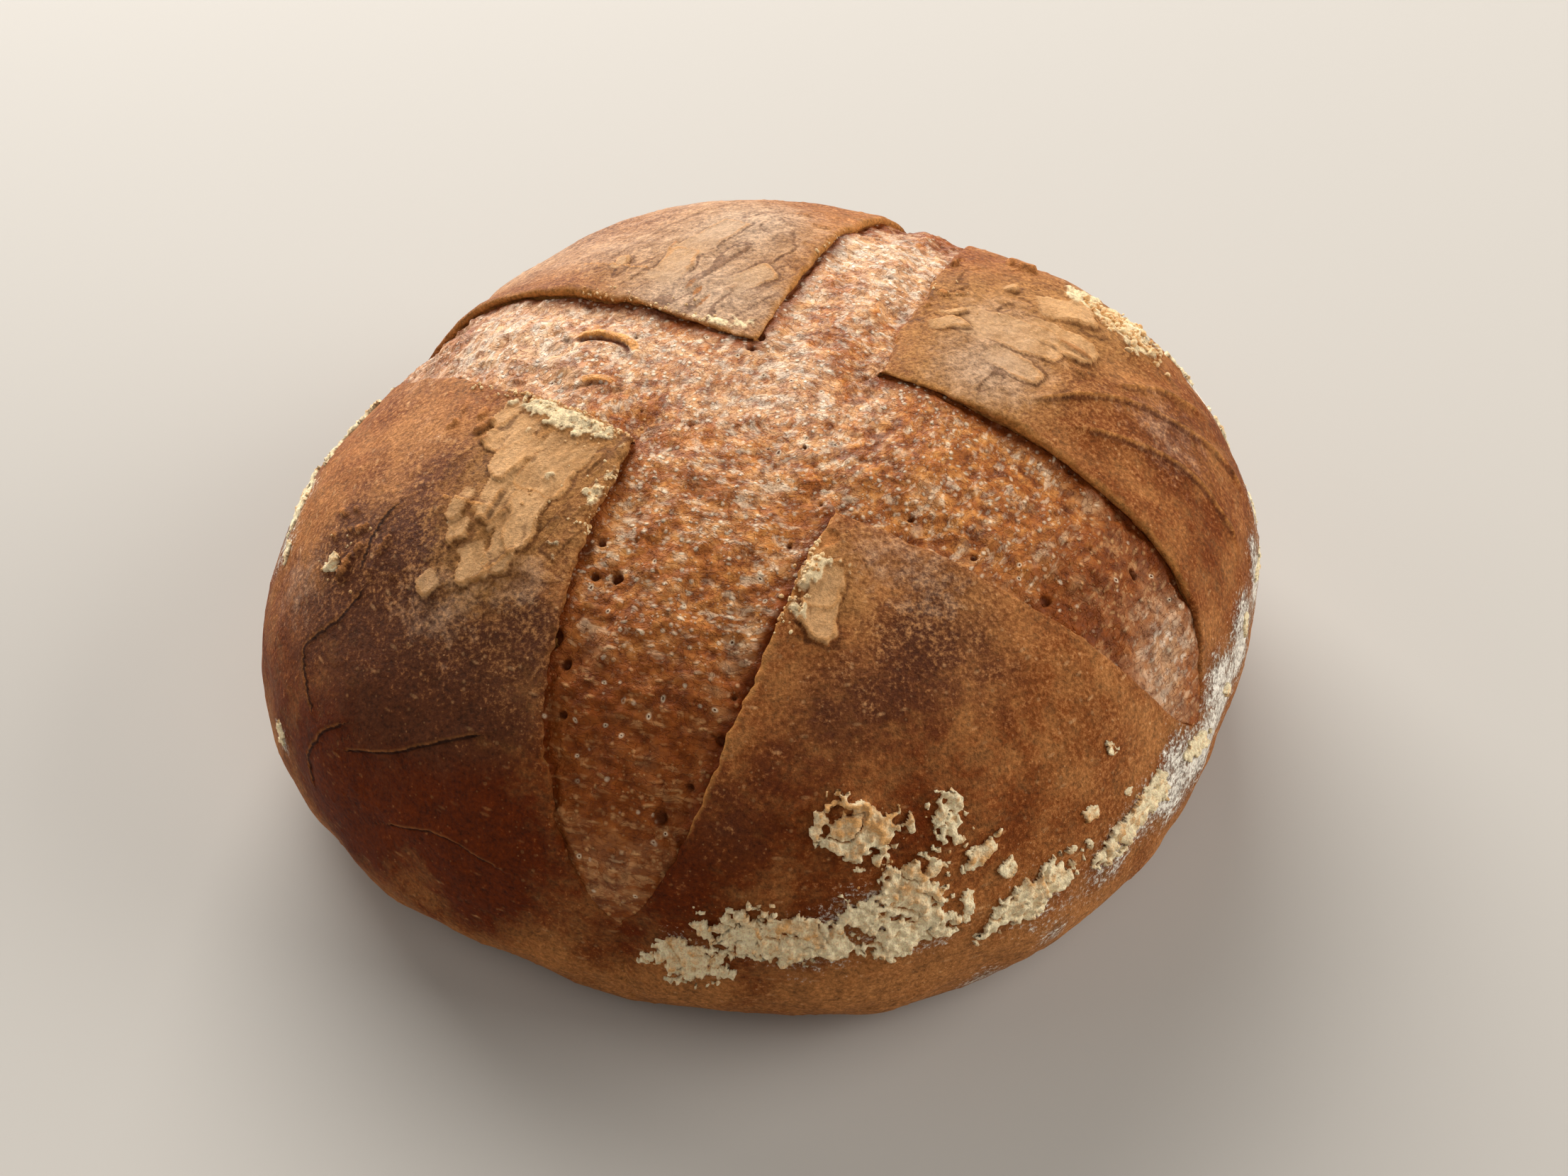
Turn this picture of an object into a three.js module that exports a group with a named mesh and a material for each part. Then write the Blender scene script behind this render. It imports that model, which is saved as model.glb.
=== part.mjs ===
// A round sourdough loaf, baked free-standing and scored with a cross.
//
// Millimetres and degrees, +Z up. The loaf rests on its flat foot at z = 0 and is centred on
// the Z axis. Its crust is one closed surface. Four raised petals of dark crust stand round a
// cross of four arms, where the dough opened as it rose in the oven. Each petal ends in a torn
// lip above the arms, and lumps of baked flour paste cling to the lower front.
//
// The surface is a lathe of one dome profile, whose points are then moved. A point has two
// coordinates: a heading, the angle round the loaf, and a reach, the distance over the crust
// from the middle of the cross. The lathe's columns follow the eight edges of the petals.

import * as THREE from 'three';

// ---------------------------------------------------------------------------------------------
// Driving dimensions

const WIDEST_RADIUS = 124.6;      // mean radius at the widest level
const DOME_HEIGHT = 112.4;        // top of the smooth dome above the foot
const WIDEST_LEVEL = 29.5;        // height of the widest level above the foot
const FOOT_RATIO = 0.8;           // radius of the flat foot over the widest radius
const DOME_POWER = 2.34;          // 2 is an ellipse, more is a fuller shoulder
const CROSS_MIDDLE = { x: 2, y: -20 };

// The rim isn't quite round: each wave adds its share of the radius, highest at its peak.
const RIM_WAVES = [
  { count: 2, share: 0.0257, peak: 38.2 },
  { count: 3, share: 0.0173, peak: -26.7 },
  { count: 4, share: 0.0314, peak: 16.9 },
];

// The four arms of the cross, anticlockwise from the right. A bend turns an arm as it runs out.
const ARMS = [
  { heading: -30, bend: -0.5, halfWidth: 22.8, end: 147 },
  { heading: 64.7, bend: 0, halfWidth: 15.8, end: 146 },
  { heading: 155.5, bend: -0.5, halfWidth: 21, end: 147 },
  { heading: 249.6, bend: 1.6, halfWidth: 25, end: 152 },
];

// The petal after each arm. A lip is how far an edge stands above the arm beside it.
const PETALS = [
  { firstLip: 3.8, lastLip: 2.4, crown: 0.9 },
  { firstLip: 3.2, lastLip: 4.0, crown: 0.6 },
  { firstLip: 2.2, lastLip: 3.6, crown: 1.1 },
  { firstLip: 4.0, lastLip: 2.8, crown: 0.8 },
];

const BEND_START = 60;            // reach at which an arm has its stated heading
const BEND_LENGTH = 40;           // length of arm that turns by one bend
const LIP_ROLL = 11;              // how far back from its edge a lip is raised
const LIP_OVERHANG = 0.7;         // how far a lip leans out over the arm
const LIP_SAG = 0.4;              // how far a low lip may lie under the dome
const ARM_DEPTH = 2.6;            // how deep an arm's edge lies below the dome
const ARM_FADE = 34;              // length over which an arm runs out at its end
const ARM_BULGE = { share: 0.75, over: 15 };          // rise of an arm towards its middle
const NARROWEST_PETAL = 11;       // angle of a petal at its blunt tip
const TIP_SLOPE = { before: 1, after: 5 };            // where a petal's tip rises
const CROWN_SLOPE = { over: 30, from: 110, to: 165 }; // where a petal swells, and fades out

// Gentle unevenness of the crust: size of a bump and its height.
const SWELLS = [
  { size: 34, height: 1.5, seed: 11 },
  { size: 15, height: 0.7, seed: 23 },
];
const ARM_BLISTERS = { size: 9, height: 1.5, seed: 37, from: 140, to: 115 };
const FLANK_WRINKLES = { size: 12, height: 0.9, seed: 41, over: 20 };
const LUMP_EDGE = { size: 8, share: 0.18, seed: 53, from: 0.7, to: 1.25 };
const FOOT_FADE = { from: 16, to: 1 };                // last stretch above the smooth foot

// Raised pieces: heading and reach of the middle, length and width, the turn of the length
// away from the line round the loaf, and the thickness.
const FLOUR_LUMPS = [
  { heading: -83, reach: 153, length: 52, width: 15, turn: 4, thick: 2.4 },
  { heading: -99, reach: 162, length: 26, width: 12, turn: 24, thick: 2.0 },
  { heading: -61, reach: 154, length: 30, width: 13, turn: -22, thick: 2.2 },
  { heading: -46, reach: 152, length: 32, width: 14, turn: -16, thick: 2.0 },
  { heading: -72, reach: 146, length: 24, width: 12, turn: 10, thick: 2.2 },
  { heading: -66, reach: 134, length: 20, width: 11, turn: -40, thick: 2.0 },
  { heading: -78, reach: 130, length: 17, width: 10, turn: 30, thick: 1.8 },
  { heading: -31, reach: 157, length: 26, width: 12, turn: -12, thick: 1.6 },
  { heading: -14, reach: 150, length: 28, width: 11, turn: 8, thick: 1.6 },
];
const CRUST_LUMPS = [
  { heading: 160, reach: 50, length: 20, width: 11, turn: -52, thick: 2.6 },
  { heading: 40, reach: 78, length: 12, width: 9, turn: 0, thick: 1.6 },
  { heading: 46, reach: 96, length: 13, width: 9, turn: 0, thick: 1.7 },
  { heading: 189, reach: 103, length: 18, width: 9, turn: 60, thick: 1.8 },
  { heading: 282, reach: 60, length: 15, width: 9, turn: 50, thick: 1.3 },
];

// Fineness of the surface. The columns hug the petals' edges, and spread out past the arms.
const PETAL_STEPS = [
  0, 0.016, 0.055, 0.1, 0.15, 0.2, 0.25, 0.3, 0.35, 0.4, 0.45,
  0.5, 0.55, 0.6, 0.65, 0.7, 0.75, 0.8, 0.85, 0.9, 0.945, 0.984,
];
const ARM_STEPS = [0, 0.125, 0.25, 0.375, 0.5, 0.625, 0.75, 0.875];
const TOP_RINGS = 35;
const FLANK_RINGS = 7;
const PROFILE_SAMPLES = 400;
const EVEN_COLUMNS = { before: 10, after: 15 };       // where the columns spread out
const SLOPE_STEP = 0.5;           // step, in degrees and millimetres, that measures a slope
const EDGE_SLACK = 0.02;          // degrees within which a point lies on an edge

// ---------------------------------------------------------------------------------------------
// Small helpers

const degrees = THREE.MathUtils.radToDeg;
const radians = THREE.MathUtils.degToRad;
const ramp = THREE.MathUtils.smoothstep;
const mix = THREE.MathUtils.lerp;

/** A repeatable number from -1 to 1 for a point of a whole-number lattice. */
function latticeValue(x, y, z, seed) {
  let bits = Math.imul(x, 374761393) ^ Math.imul(y, 668265263) ^ Math.imul(z, 2147483647);
  bits = Math.imul(bits ^ Math.imul(seed, 1274126177), 1103515245);
  bits = Math.imul(bits ^ (bits >>> 15), 2246822519);
  bits ^= bits >>> 13;
  return ((bits >>> 0) / 4294967295) * 2 - 1;
}

/** Smooth unevenness from -1 to 1 at a point, with bumps of about the given size. */
function unevenness(point, size, seed) {
  const cell = [point.x, point.y, point.z].map((value) => value / size);
  const low = cell.map(Math.floor);
  const blend = cell.map((value, axis) => ramp(value - low[axis], 0, 1));
  let sum = 0;
  for (let corner = 0; corner < 8; corner += 1) {
    const step = [corner & 1, (corner >> 1) & 1, (corner >> 2) & 1];
    const weight = step.reduce((all, on, axis) => all * (on ? blend[axis] : 1 - blend[axis]), 1);
    sum += weight * latticeValue(low[0] + step[0], low[1] + step[1], low[2] + step[2], seed);
  }
  return sum;
}

// ---------------------------------------------------------------------------------------------
// The smooth loaf

/** Radius of the widest outline at an angle round the loaf. */
function rimRadius(angle) {
  const waves = RIM_WAVES.map(({ count, share, peak }) => share * Math.cos(radians(count * (angle - peak))));
  return WIDEST_RADIUS * waves.reduce((sum, wave) => sum + wave, 1);
}

/** The profile from the top of the dome to the edge of the foot: radius share, height, reach. */
function sampleProfile() {
  const samples = [];
  for (let i = 0; i <= PROFILE_SAMPLES; i += 1) {
    const turn = (Math.PI / 2) * (i / PROFILE_SAMPLES);
    const size = (Math.sin(turn) ** DOME_POWER + Math.cos(turn) ** DOME_POWER) ** (-1 / DOME_POWER);
    const share = Math.sin(turn) * size;
    const height = mix(WIDEST_LEVEL, DOME_HEIGHT, i === PROFILE_SAMPLES ? 0 : Math.cos(turn) * size);
    samples.push({ share, height });
  }
  for (let i = 1; i <= PROFILE_SAMPLES; i += 1) {
    const turn = (Math.PI / 2) * (i / PROFILE_SAMPLES);
    const share = mix(FOOT_RATIO, 1, Math.cos(turn));
    samples.push({ share, height: WIDEST_LEVEL * (1 - Math.sin(turn)) });
  }
  samples[0].reach = 0;
  for (let i = 1; i < samples.length; i += 1) {
    const across = (samples[i].share - samples[i - 1].share) * WIDEST_RADIUS;
    const down = samples[i].height - samples[i - 1].height;
    samples[i].reach = samples[i - 1].reach + Math.hypot(across, down);
  }
  return samples;
}

const PROFILE = sampleProfile();
const WIDEST_REACH = PROFILE[PROFILE_SAMPLES].reach;
const FOOT_REACH = PROFILE[PROFILE.length - 1].reach;

/** The profile's radius share and height at a reach. */
function profileAt(reach) {
  const found = PROFILE.findIndex((sample) => sample.reach > reach);
  const after = found < 0 ? PROFILE.length - 1 : found;
  const low = PROFILE[after - 1];
  const high = PROFILE[after];
  const part = THREE.MathUtils.clamp((reach - low.reach) / (high.reach - low.reach), 0, 1);
  return { share: mix(low.share, high.share, part), height: mix(low.height, high.height, part) };
}

/** Height of the smooth dome above a point of the plan. */
function domeHeight(x, y) {
  const share = Math.hypot(x, y) / rimRadius(degrees(Math.atan2(y, x)));
  const rise = Math.max(0, 1 - share ** DOME_POWER) ** (1 / DOME_POWER);
  return mix(WIDEST_LEVEL, DOME_HEIGHT, rise);
}

/** A point of the smooth loaf. Over the top, the rings close in on the middle of the cross. */
function smoothPoint(heading, reach) {
  const { share, height } = profileAt(reach);
  const radius = rimRadius(heading);
  const rim = { x: radius * Math.cos(radians(heading)), y: radius * Math.sin(radians(heading)) };
  if (reach >= WIDEST_REACH) {
    return new THREE.Vector3(rim.x * share, rim.y * share, height);
  }
  const x = mix(CROSS_MIDDLE.x, rim.x, share);
  const y = mix(CROSS_MIDDLE.y, rim.y, share);
  return new THREE.Vector3(x, y, domeHeight(x, y));
}

/** The outward direction of the smooth loaf, from its slopes round and down. */
function outward(heading, reach) {
  const from = Math.max(reach, SLOPE_STEP * 4);
  const round = smoothPoint(heading + SLOPE_STEP, from).sub(smoothPoint(heading - SLOPE_STEP, from));
  const down = smoothPoint(heading, from + SLOPE_STEP).sub(smoothPoint(heading, from - SLOPE_STEP));
  return down.cross(round).normalize();
}

// ---------------------------------------------------------------------------------------------
// The cross: its arms, and the petals between them

/** Heading of an arm's middle line, and half its width as an angle, at a reach. */
function armAt(arm, reach) {
  const middle = arm.heading + arm.bend * ((reach - BEND_START) / BEND_LENGTH);
  const closing = Math.max(0, 1 - (reach / arm.end) ** 4) ** 0.75;
  const radius = Math.max(profileAt(reach).share * WIDEST_RADIUS, 1);
  const half = degrees(Math.asin(Math.min(1, (arm.halfWidth * closing) / radius)));
  return { middle, half };
}

/** First and last edge of the petal that follows an arm, as headings at a reach. */
function petalEdges(index, reach) {
  const wrap = index === ARMS.length - 1 ? 360 : 0;
  const before = armAt(ARMS[index], reach);
  const after = armAt(ARMS[(index + 1) % ARMS.length], reach);
  const first = before.middle + before.half;
  const last = after.middle - after.half + wrap;
  const middle = (first + last) / 2;
  const half = Math.max(last - first, NARROWEST_PETAL) / 2;
  return { first: middle - half, last: middle + half, open: last - first > NARROWEST_PETAL };
}

/** Reach at which each petal's blunt tip lies. */
const TIPS = ARMS.map((_, index) => {
  let reach = 1;
  while (!petalEdges(index, reach).open) {
    reach += 0.5;
  }
  return reach;
});

const COLUMNS = ARMS.length * (PETAL_STEPS.length + ARM_STEPS.length);

/** Headings of all columns at a reach, from the first petal round to the last arm. */
function columnHeadings(reach) {
  const headings = [];
  ARMS.forEach((arm, index) => {
    const next = (index + 1) % ARMS.length;
    const wrap = next === 0 ? 360 : 0;
    const edges = petalEdges(index, reach);
    const nextFirst = petalEdges(next, reach).first + wrap;
    const relax = ramp(reach, arm.end - EVEN_COLUMNS.before, arm.end + EVEN_COLUMNS.after);
    const armHalf = (ARM_STEPS.length / COLUMNS) * 180;
    const evenFirst = arm.heading + armHalf;
    const evenLast = ARMS[next].heading + wrap - armHalf;
    const first = mix(edges.first, evenFirst, relax);
    const last = mix(edges.last, evenLast, relax);
    const following = mix(nextFirst, ARMS[next].heading + wrap + armHalf, relax);
    PETAL_STEPS.forEach((step, place) => {
      const even = place / PETAL_STEPS.length;
      headings.push(mix(first, last, mix(step, even, relax)));
    });
    ARM_STEPS.forEach((step) => headings.push(mix(last, following, step)));
  });
  return headings;
}

/** The angle from one heading round to another, from 0 to 360. */
function turnTo(from, to) {
  return THREE.MathUtils.euclideanModulo(to - from, 360);
}

/** How far an arm has faded at a reach, from 0 at full depth to 1 past its end. */
function armFade(arm, reach) {
  return ramp(reach, arm.end - ARM_FADE, arm.end);
}

/** Where a point lies: on a petal, or on an arm and how far from the nearest petal. */
function placeInCross(heading, reach) {
  const radius = profileAt(reach).share * WIDEST_RADIUS;
  const place = { petal: -1, fromFirst: 0, fromLast: 0, fromPetal: Infinity };
  ARMS.forEach((arm, index) => {
    const edges = petalEdges(index, reach);
    const past = turnTo(edges.first, heading);
    const width = edges.last - edges.first;
    if (edges.open && past > EDGE_SLACK && past < width - EDGE_SLACK) {
      place.petal = index;
      place.fromFirst = radians(past) * radius;
      place.fromLast = radians(width - past) * radius;
      return;
    }
    const beside = past < width ? 0 : radians(Math.min(past - width, 360 - past)) * radius;
    const shortOfTip = Math.max(0, TIPS[index] - reach);
    place.fromPetal = Math.min(place.fromPetal, Math.hypot(beside, shortOfTip));
  });
  return place;
}

/** The arm whose heading is nearest. */
function nearestArm(heading) {
  const apart = (arm) => Math.abs(turnTo(arm.heading, heading + 180) - 180);
  return ARMS.reduce((best, arm) => (apart(arm) < apart(best) ? arm : best));
}

/** How far the torn lips and the sunken arms move a point, out and round the loaf. */
function crossRelief(heading, reach, place) {
  if (place.petal < 0) {
    const depth = ARM_DEPTH * (1 - armFade(nearestArm(heading), reach));
    const bulge = ARM_BULGE.share * ramp(place.fromPetal, 0, ARM_BULGE.over);
    return { out: -depth * (1 - bulge), round: 0 };
  }
  const petal = PETALS[place.petal];
  const tip = TIPS[place.petal];
  const rise = ramp(reach, tip - TIP_SLOPE.before, tip + TIP_SLOPE.after);
  const firstFade = armFade(ARMS[place.petal], reach);
  const lastFade = armFade(ARMS[(place.petal + 1) % ARMS.length], reach);
  const firstShare = Math.exp(-place.fromFirst / LIP_ROLL) * (1 - firstFade);
  const lastShare = Math.exp(-place.fromLast / LIP_ROLL) * (1 - lastFade);
  const lips = (petal.firstLip - ARM_DEPTH) * firstShare + (petal.lastLip - ARM_DEPTH) * lastShare;
  const inner = ramp(Math.min(place.fromFirst, place.fromLast), 0, CROWN_SLOPE.over);
  const crown = petal.crown * inner * (1 - ramp(reach, CROWN_SLOPE.from, CROWN_SLOPE.to));
  const lean = LIP_OVERHANG * (lastShare ** 4 - firstShare ** 4);
  return { out: rise * (Math.max(lips, -LIP_SAG) + crown), round: rise * lean };
}

// ---------------------------------------------------------------------------------------------
// Relief over the whole crust

/** Height of one raised lump at a point: a flat-topped oval with soft sides. */
function lumpHeight(lump, point) {
  const middle = smoothPoint(lump.heading, lump.reach);
  const out = outward(lump.heading, lump.reach);
  const along = new THREE.Vector3(0, 0, 1).cross(out).normalize();
  const up = out.clone().cross(along);
  const offset = point.clone().sub(middle);
  const turn = radians(lump.turn);
  const right = offset.dot(along);
  const above = offset.dot(up);
  const onLength = (right * Math.cos(turn) + above * Math.sin(turn)) / (lump.length / 2);
  const onWidth = (above * Math.cos(turn) - right * Math.sin(turn)) / (lump.width / 2);
  const ragged = 1 + LUMP_EDGE.share * unevenness(point, LUMP_EDGE.size, LUMP_EDGE.seed);
  return lump.thick * (1 - ramp(Math.hypot(onLength, onWidth) * ragged, LUMP_EDGE.from, LUMP_EDGE.to));
}

/** The unevenness of one kind of bump at a point, in millimetres. */
function bumps({ size, height, seed }, point) {
  return height * unevenness(point, size, seed);
}

/** How far all the relief but the cross moves a point out from the smooth loaf. */
function crustRelief(reach, point, onArm) {
  const swells = SWELLS.reduce((sum, swell) => sum + bumps(swell, point), 0);
  const blistered = onArm ? 1 - ramp(reach, ARM_BLISTERS.to, ARM_BLISTERS.from) : 0;
  const wrinkled = ramp(reach, WIDEST_REACH - FLANK_WRINKLES.over, WIDEST_REACH);
  const fine = blistered * bumps(ARM_BLISTERS, point) + wrinkled * bumps(FLANK_WRINKLES, point);
  const lumps = [...FLOUR_LUMPS, ...CRUST_LUMPS].map((lump) => lumpHeight(lump, point));
  return swells + fine + Math.max(...lumps);
}

/** A point of the finished crust. */
function crustPoint(heading, reach) {
  const point = smoothPoint(heading, reach);
  if (reach >= FOOT_REACH) {
    return point;
  }
  const place = placeInCross(heading, reach);
  const cross = crossRelief(heading, reach, place);
  const aboveFoot = 1 - ramp(reach, FOOT_REACH - FOOT_FADE.from, FOOT_REACH - FOOT_FADE.to);
  const lift = aboveFoot * (cross.out + crustRelief(reach, point, place.petal < 0));
  const round = new THREE.Vector3(-Math.sin(radians(heading)), Math.cos(radians(heading)), 0);
  return point.addScaledVector(outward(heading, reach), lift).addScaledVector(round, cross.round);
}

// ---------------------------------------------------------------------------------------------
// The solid

/** Reaches of the rings, from the top of the dome to the edge of the foot. */
function ringReaches() {
  const reaches = [];
  for (let ring = 0; ring < TOP_RINGS; ring += 1) {
    reaches.push((WIDEST_REACH * ring) / TOP_RINGS);
  }
  for (let ring = 0; ring <= FLANK_RINGS; ring += 1) {
    reaches.push(mix(WIDEST_REACH, FOOT_REACH, ring / FLANK_RINGS));
  }
  return reaches;
}

/** The lathed dome with every point moved to its place on the crust. */
function loafGeometry() {
  const reaches = ringReaches();
  const profile = reaches.map((reach) => {
    const { share, height } = profileAt(reach);
    return new THREE.Vector2(share * WIDEST_RADIUS, height);
  });
  profile.push(new THREE.Vector2(0, 0));
  const rings = profile.length;
  const headingsOfRing = reaches.map(columnHeadings);
  const middle = crustPoint(0, 0);

  const geometry = new THREE.LatheGeometry(profile.reverse(), COLUMNS);
  const positions = geometry.attributes.position;
  for (let index = 0; index < positions.count; index += 1) {
    const column = Math.floor(index / rings) % COLUMNS;
    const ring = rings - 1 - (index % rings);
    let point = new THREE.Vector3(0, 0, 0);
    if (ring === 0) {
      point = middle;
    } else if (ring < reaches.length) {
      point = crustPoint(headingsOfRing[ring][column], reaches[ring]);
    }
    positions.setXYZ(index, point.x, point.y, point.z);
  }
  return geometry;
}

/** Moves a geometry so that its box is centred on the Z axis. */
function centreOnAxis(geometry) {
  geometry.computeBoundingBox();
  const { min, max } = geometry.boundingBox;
  geometry.translate(-(min.x + max.x) / 2, -(min.y + max.y) / 2, -min.z);
  geometry.computeVertexNormals();
  return geometry;
}

const bakedCrust = new THREE.MeshStandardMaterial({ color: '#b9793f', roughness: 0.72, metalness: 0 });

const loaf = new THREE.Mesh(centreOnAxis(loafGeometry()), bakedCrust);
loaf.name = 'loaf';

const sourdoughLoaf = new THREE.Group();
sourdoughLoaf.add(loaf);

export default sourdoughLoaf;
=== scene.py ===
"""A round sourdough loaf, baked free-standing and scored with a cross.

The loaf is dressed in four pieces that share one dome: the browned crust with its four petals,
the skin of the crumb that swelled up in the cross, lumps of baked flour paste, and loose crumbs.
Shapes are worked out in millimetres and built in metres.
"""

import functools
import itertools
import math
from collections import namedtuple

import bpy
import numpy as np
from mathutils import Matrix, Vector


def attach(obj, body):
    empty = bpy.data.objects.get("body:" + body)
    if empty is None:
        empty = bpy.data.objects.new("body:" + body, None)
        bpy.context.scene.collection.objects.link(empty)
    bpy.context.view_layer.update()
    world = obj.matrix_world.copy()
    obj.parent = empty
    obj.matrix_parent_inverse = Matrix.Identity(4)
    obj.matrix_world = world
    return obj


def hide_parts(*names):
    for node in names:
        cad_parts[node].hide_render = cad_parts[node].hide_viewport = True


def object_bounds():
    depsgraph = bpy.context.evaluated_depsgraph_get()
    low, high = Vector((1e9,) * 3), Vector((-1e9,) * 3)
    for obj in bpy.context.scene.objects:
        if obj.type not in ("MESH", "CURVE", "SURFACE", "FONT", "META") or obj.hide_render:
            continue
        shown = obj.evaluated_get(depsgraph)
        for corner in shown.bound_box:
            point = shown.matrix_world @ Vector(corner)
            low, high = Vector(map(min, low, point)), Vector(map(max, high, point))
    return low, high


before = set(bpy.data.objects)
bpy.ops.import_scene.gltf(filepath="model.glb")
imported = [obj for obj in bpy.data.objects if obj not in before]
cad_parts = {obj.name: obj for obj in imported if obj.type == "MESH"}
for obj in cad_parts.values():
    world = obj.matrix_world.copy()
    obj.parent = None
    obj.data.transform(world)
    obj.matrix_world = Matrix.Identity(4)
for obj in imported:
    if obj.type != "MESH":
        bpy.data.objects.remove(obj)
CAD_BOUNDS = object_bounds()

bl_info = {
    "name": "Sourdough Loaf",
    "version": (1, 0, 0),
    "blender": (4, 5, 0),
    "location": "View3D > Sidebar > Loaf",
    "description": "Builds a cross-scored sourdough loaf with a procedural crust",
    "category": "Add Mesh",
}

MM = 0.001
NODE = "loaf"
BODY = "root"

# ---------------------------------------------------------------------------------------------
# The shape of this loaf, in millimetres and degrees
#
# A point of the surface has a heading, the angle round the loaf, and a reach, the distance over
# the crust from the middle of the cross. Headings run anticlockwise from +X.

Wave = namedtuple("Wave", "count share peak")
Arm = namedtuple("Arm", "heading bend half_width end")
Edge = namedtuple("Edge", "lip sharp ragged")
Petal = namedtuple("Petal", "first last crown")
Swell = namedtuple("Swell", "size height seed")
Lump = namedtuple("Lump", "heading reach length width turn thick")
Spot = namedtuple("Spot", "heading reach spread amount")
Hole = namedtuple("Hole", "heading reach radius depth")


def rows(kind, *values):
    """A record of one kind for each row of values."""
    return tuple(kind(*row) for row in values)


RIM_WAVES = (Wave(2, 0.0257, 38.2), Wave(3, 0.0173, -26.7), Wave(4, 0.0314, 16.9))

# The arms of the cross, and the petal that follows each one
ARMS = (
    Arm(-30, -0.5, 22.8, 147),
    Arm(64.7, 0, 15.8, 146),
    Arm(155.5, -0.5, 21, 147),
    Arm(249.6, 1.6, 25, 152),
)
PETALS = (
    Petal(Edge(4.2, 1.0, 0.5), Edge(2.4, 0.25, 1.0), 0.9),
    Petal(Edge(3.6, 1.0, 0.6), Edge(4.4, 1.0, 0.8), 0.6),
    Petal(Edge(3.0, 0.6, 1.3), Edge(3.8, 0.9, 1.1), 1.1),
    Petal(Edge(4.0, 1.0, 0.9), Edge(2.8, 0.6, 0.6), 0.8),
)
# An arm turns by its bend for each BEND_LENGTH past BEND_START, and fades out before its end.
BEND_START = 60
BEND_LENGTH = 40
ARM_FADE = 34
# A lip sags no deeper than LIP_SAG. A petal's crown rises inward from its edge and fades towards
# the flank, and no petal is drawn narrower than so many degrees.
LIP_SAG = 0.4
CROWN_RISE = 30
CROWN_FADE = (110, 165)
NARROWEST_PETAL = 11

# How finely the pieces are divided: their rings, their columns or the degrees between these, how
# far a piece is tucked under the next, and where the columns have spread out past the arms
BODY_RINGS = (40, 110, 12)
BODY_COLUMN = 0.5
PETAL_RINGS = 256
PETAL_COLUMNS = 190
COLUMN_HUG = 0.6
PETAL_TUCK = 2.4
SKIN_RINGS = (320, 30)
SKIN_COLUMNS = (24, 104)
SKIN_TUCK = 2.0
SKIN_PAST_ARMS = 8
EVEN_COLUMNS = (10, 15)
MOST_TRIANGLES = 194000
MOST_PASTE_TRIANGLES = 150000

# Section of a torn lip: distance from the cut's edge, where that point lies, and how far down
LIP_SECTION = (
    (-1.6, 1.4, -6.0),
    (-0.8, 1.1, -3.8),
    (-0.3, 0.6, -2.6),
    (0.0, -0.1, -2.2),
    (0.25, -0.6, -1.5),
    (0.5, -0.7, -0.8),
    (0.8, -0.4, -0.3),
    (1.3, 0.5, 0.0),
    (2.2, 2.2, 0.0),
)
# The crevice beside a lip, how far the skin climbs the lip, how much of the cut's depth it makes
# up for midway, and where it is out of sight
CREVICE = 1.0
CREVICE_WIDTH = 1.4
SKIN_CLIMB = 1.5
CLIMB_WIDTH = 5.0
SKIN_BULGE = 0.75
BULGE_WIDTH = 15
SKIN_TUCKED = (1.5, 5)
SKIN_GOES_UNDER = (8, 14)
# Where the flanks come up from under the petals, and where the petals begin and dip into them
BODY_START = (134, 144)
PETAL_START = 16
PETAL_END = (146, 156)
PETAL_LIFT = 0.05
PETAL_DIP = 0.5
# How deep a surface lies where it is out of sight: the crust in the arms, the skin past them
HIDDEN_DEPTH = 6.0
SKIN_HIDDEN_RISE = 1.5
# Points nearer than SEAM_GAP are one, and a mark counts distances up to FAR
SEAM_GAP = 0.0005
FAR = 12.0
# How far the loaf stays inside the solid's box, and over what depth it is pressed back from it
BOX_MARGIN = 0.05
BOX_PRESS = (1.0, 1.0, 4.0)
# Patterns run along the rings past DRAWN_OUT, and a line has LINE_STEPS points from knot to knot
DRAWN_OUT = 45.0
LINE_STEPS = 9
# Which way the crust was smeared and how far that drew it out, and how thick its torn layers are
SMEAR_HEADING = 48
SMEAR_STRETCH = 3.5
LAYER_THICKNESS = 0.55
# The sloping side of a smeared sheet, and the rim along its torn end
SHEET_SIDE = 0.45
RIM_INSET = 0.7
RIM_WIDTH = 0.5
RIM_RISE = 0.3
# Where the flanks set in, and where the skin is deeply baked
FLANK_REACHES = (120, 190)
DEEP_REACHES = (60, 105)

# Bumps of the broad forms, the cuts, the crust, the skin, the paste and the crumbs: their size and
# height, and a number that tells one pattern from another
SWELLS = (Swell(34, 1.5, 11), Swell(15, 0.7, 23))
FLANK_WRINKLES = Swell(12, 0.9, 41)
WRINKLES_FADE_IN = 20
FOOT_FADE = (12, 0.5)
CUT_WANDER = (Swell(8, 0.9, 101), Swell(2.8, 0.45, 103), Swell(1.4, 0.35, 104))
LIP_FRAY = Swell(5, 0.5, 109)
CREVICE_GAPS = Swell(6, 1.0, 193)
CRUST_GRAIN = (Swell(6.5, 0.24, 61), Swell(3.0, 0.12, 67))
PIMPLES = Swell(3.4, 0.22, 139)
LAYER_DEPTH = (Swell(8, 1.8, 129), Swell(2.2, 0.3, 130))
LINE_FRAY = Swell(2.5, 0.3, 107)
LUMP_FRAY = Swell(2.2, 0.3, 149)
SHEET_TEAR = Swell(3.2, 1.3, 127)
SHEET_FRAY = Swell(1.5, 0.6, 128)
SHEET_STREAKS = Swell(1.4, 0.12, 131)
CRUMBLED_CRAGS = (Swell(2.4, 0.55, 137), Swell(1.1, 0.45, 138))
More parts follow.
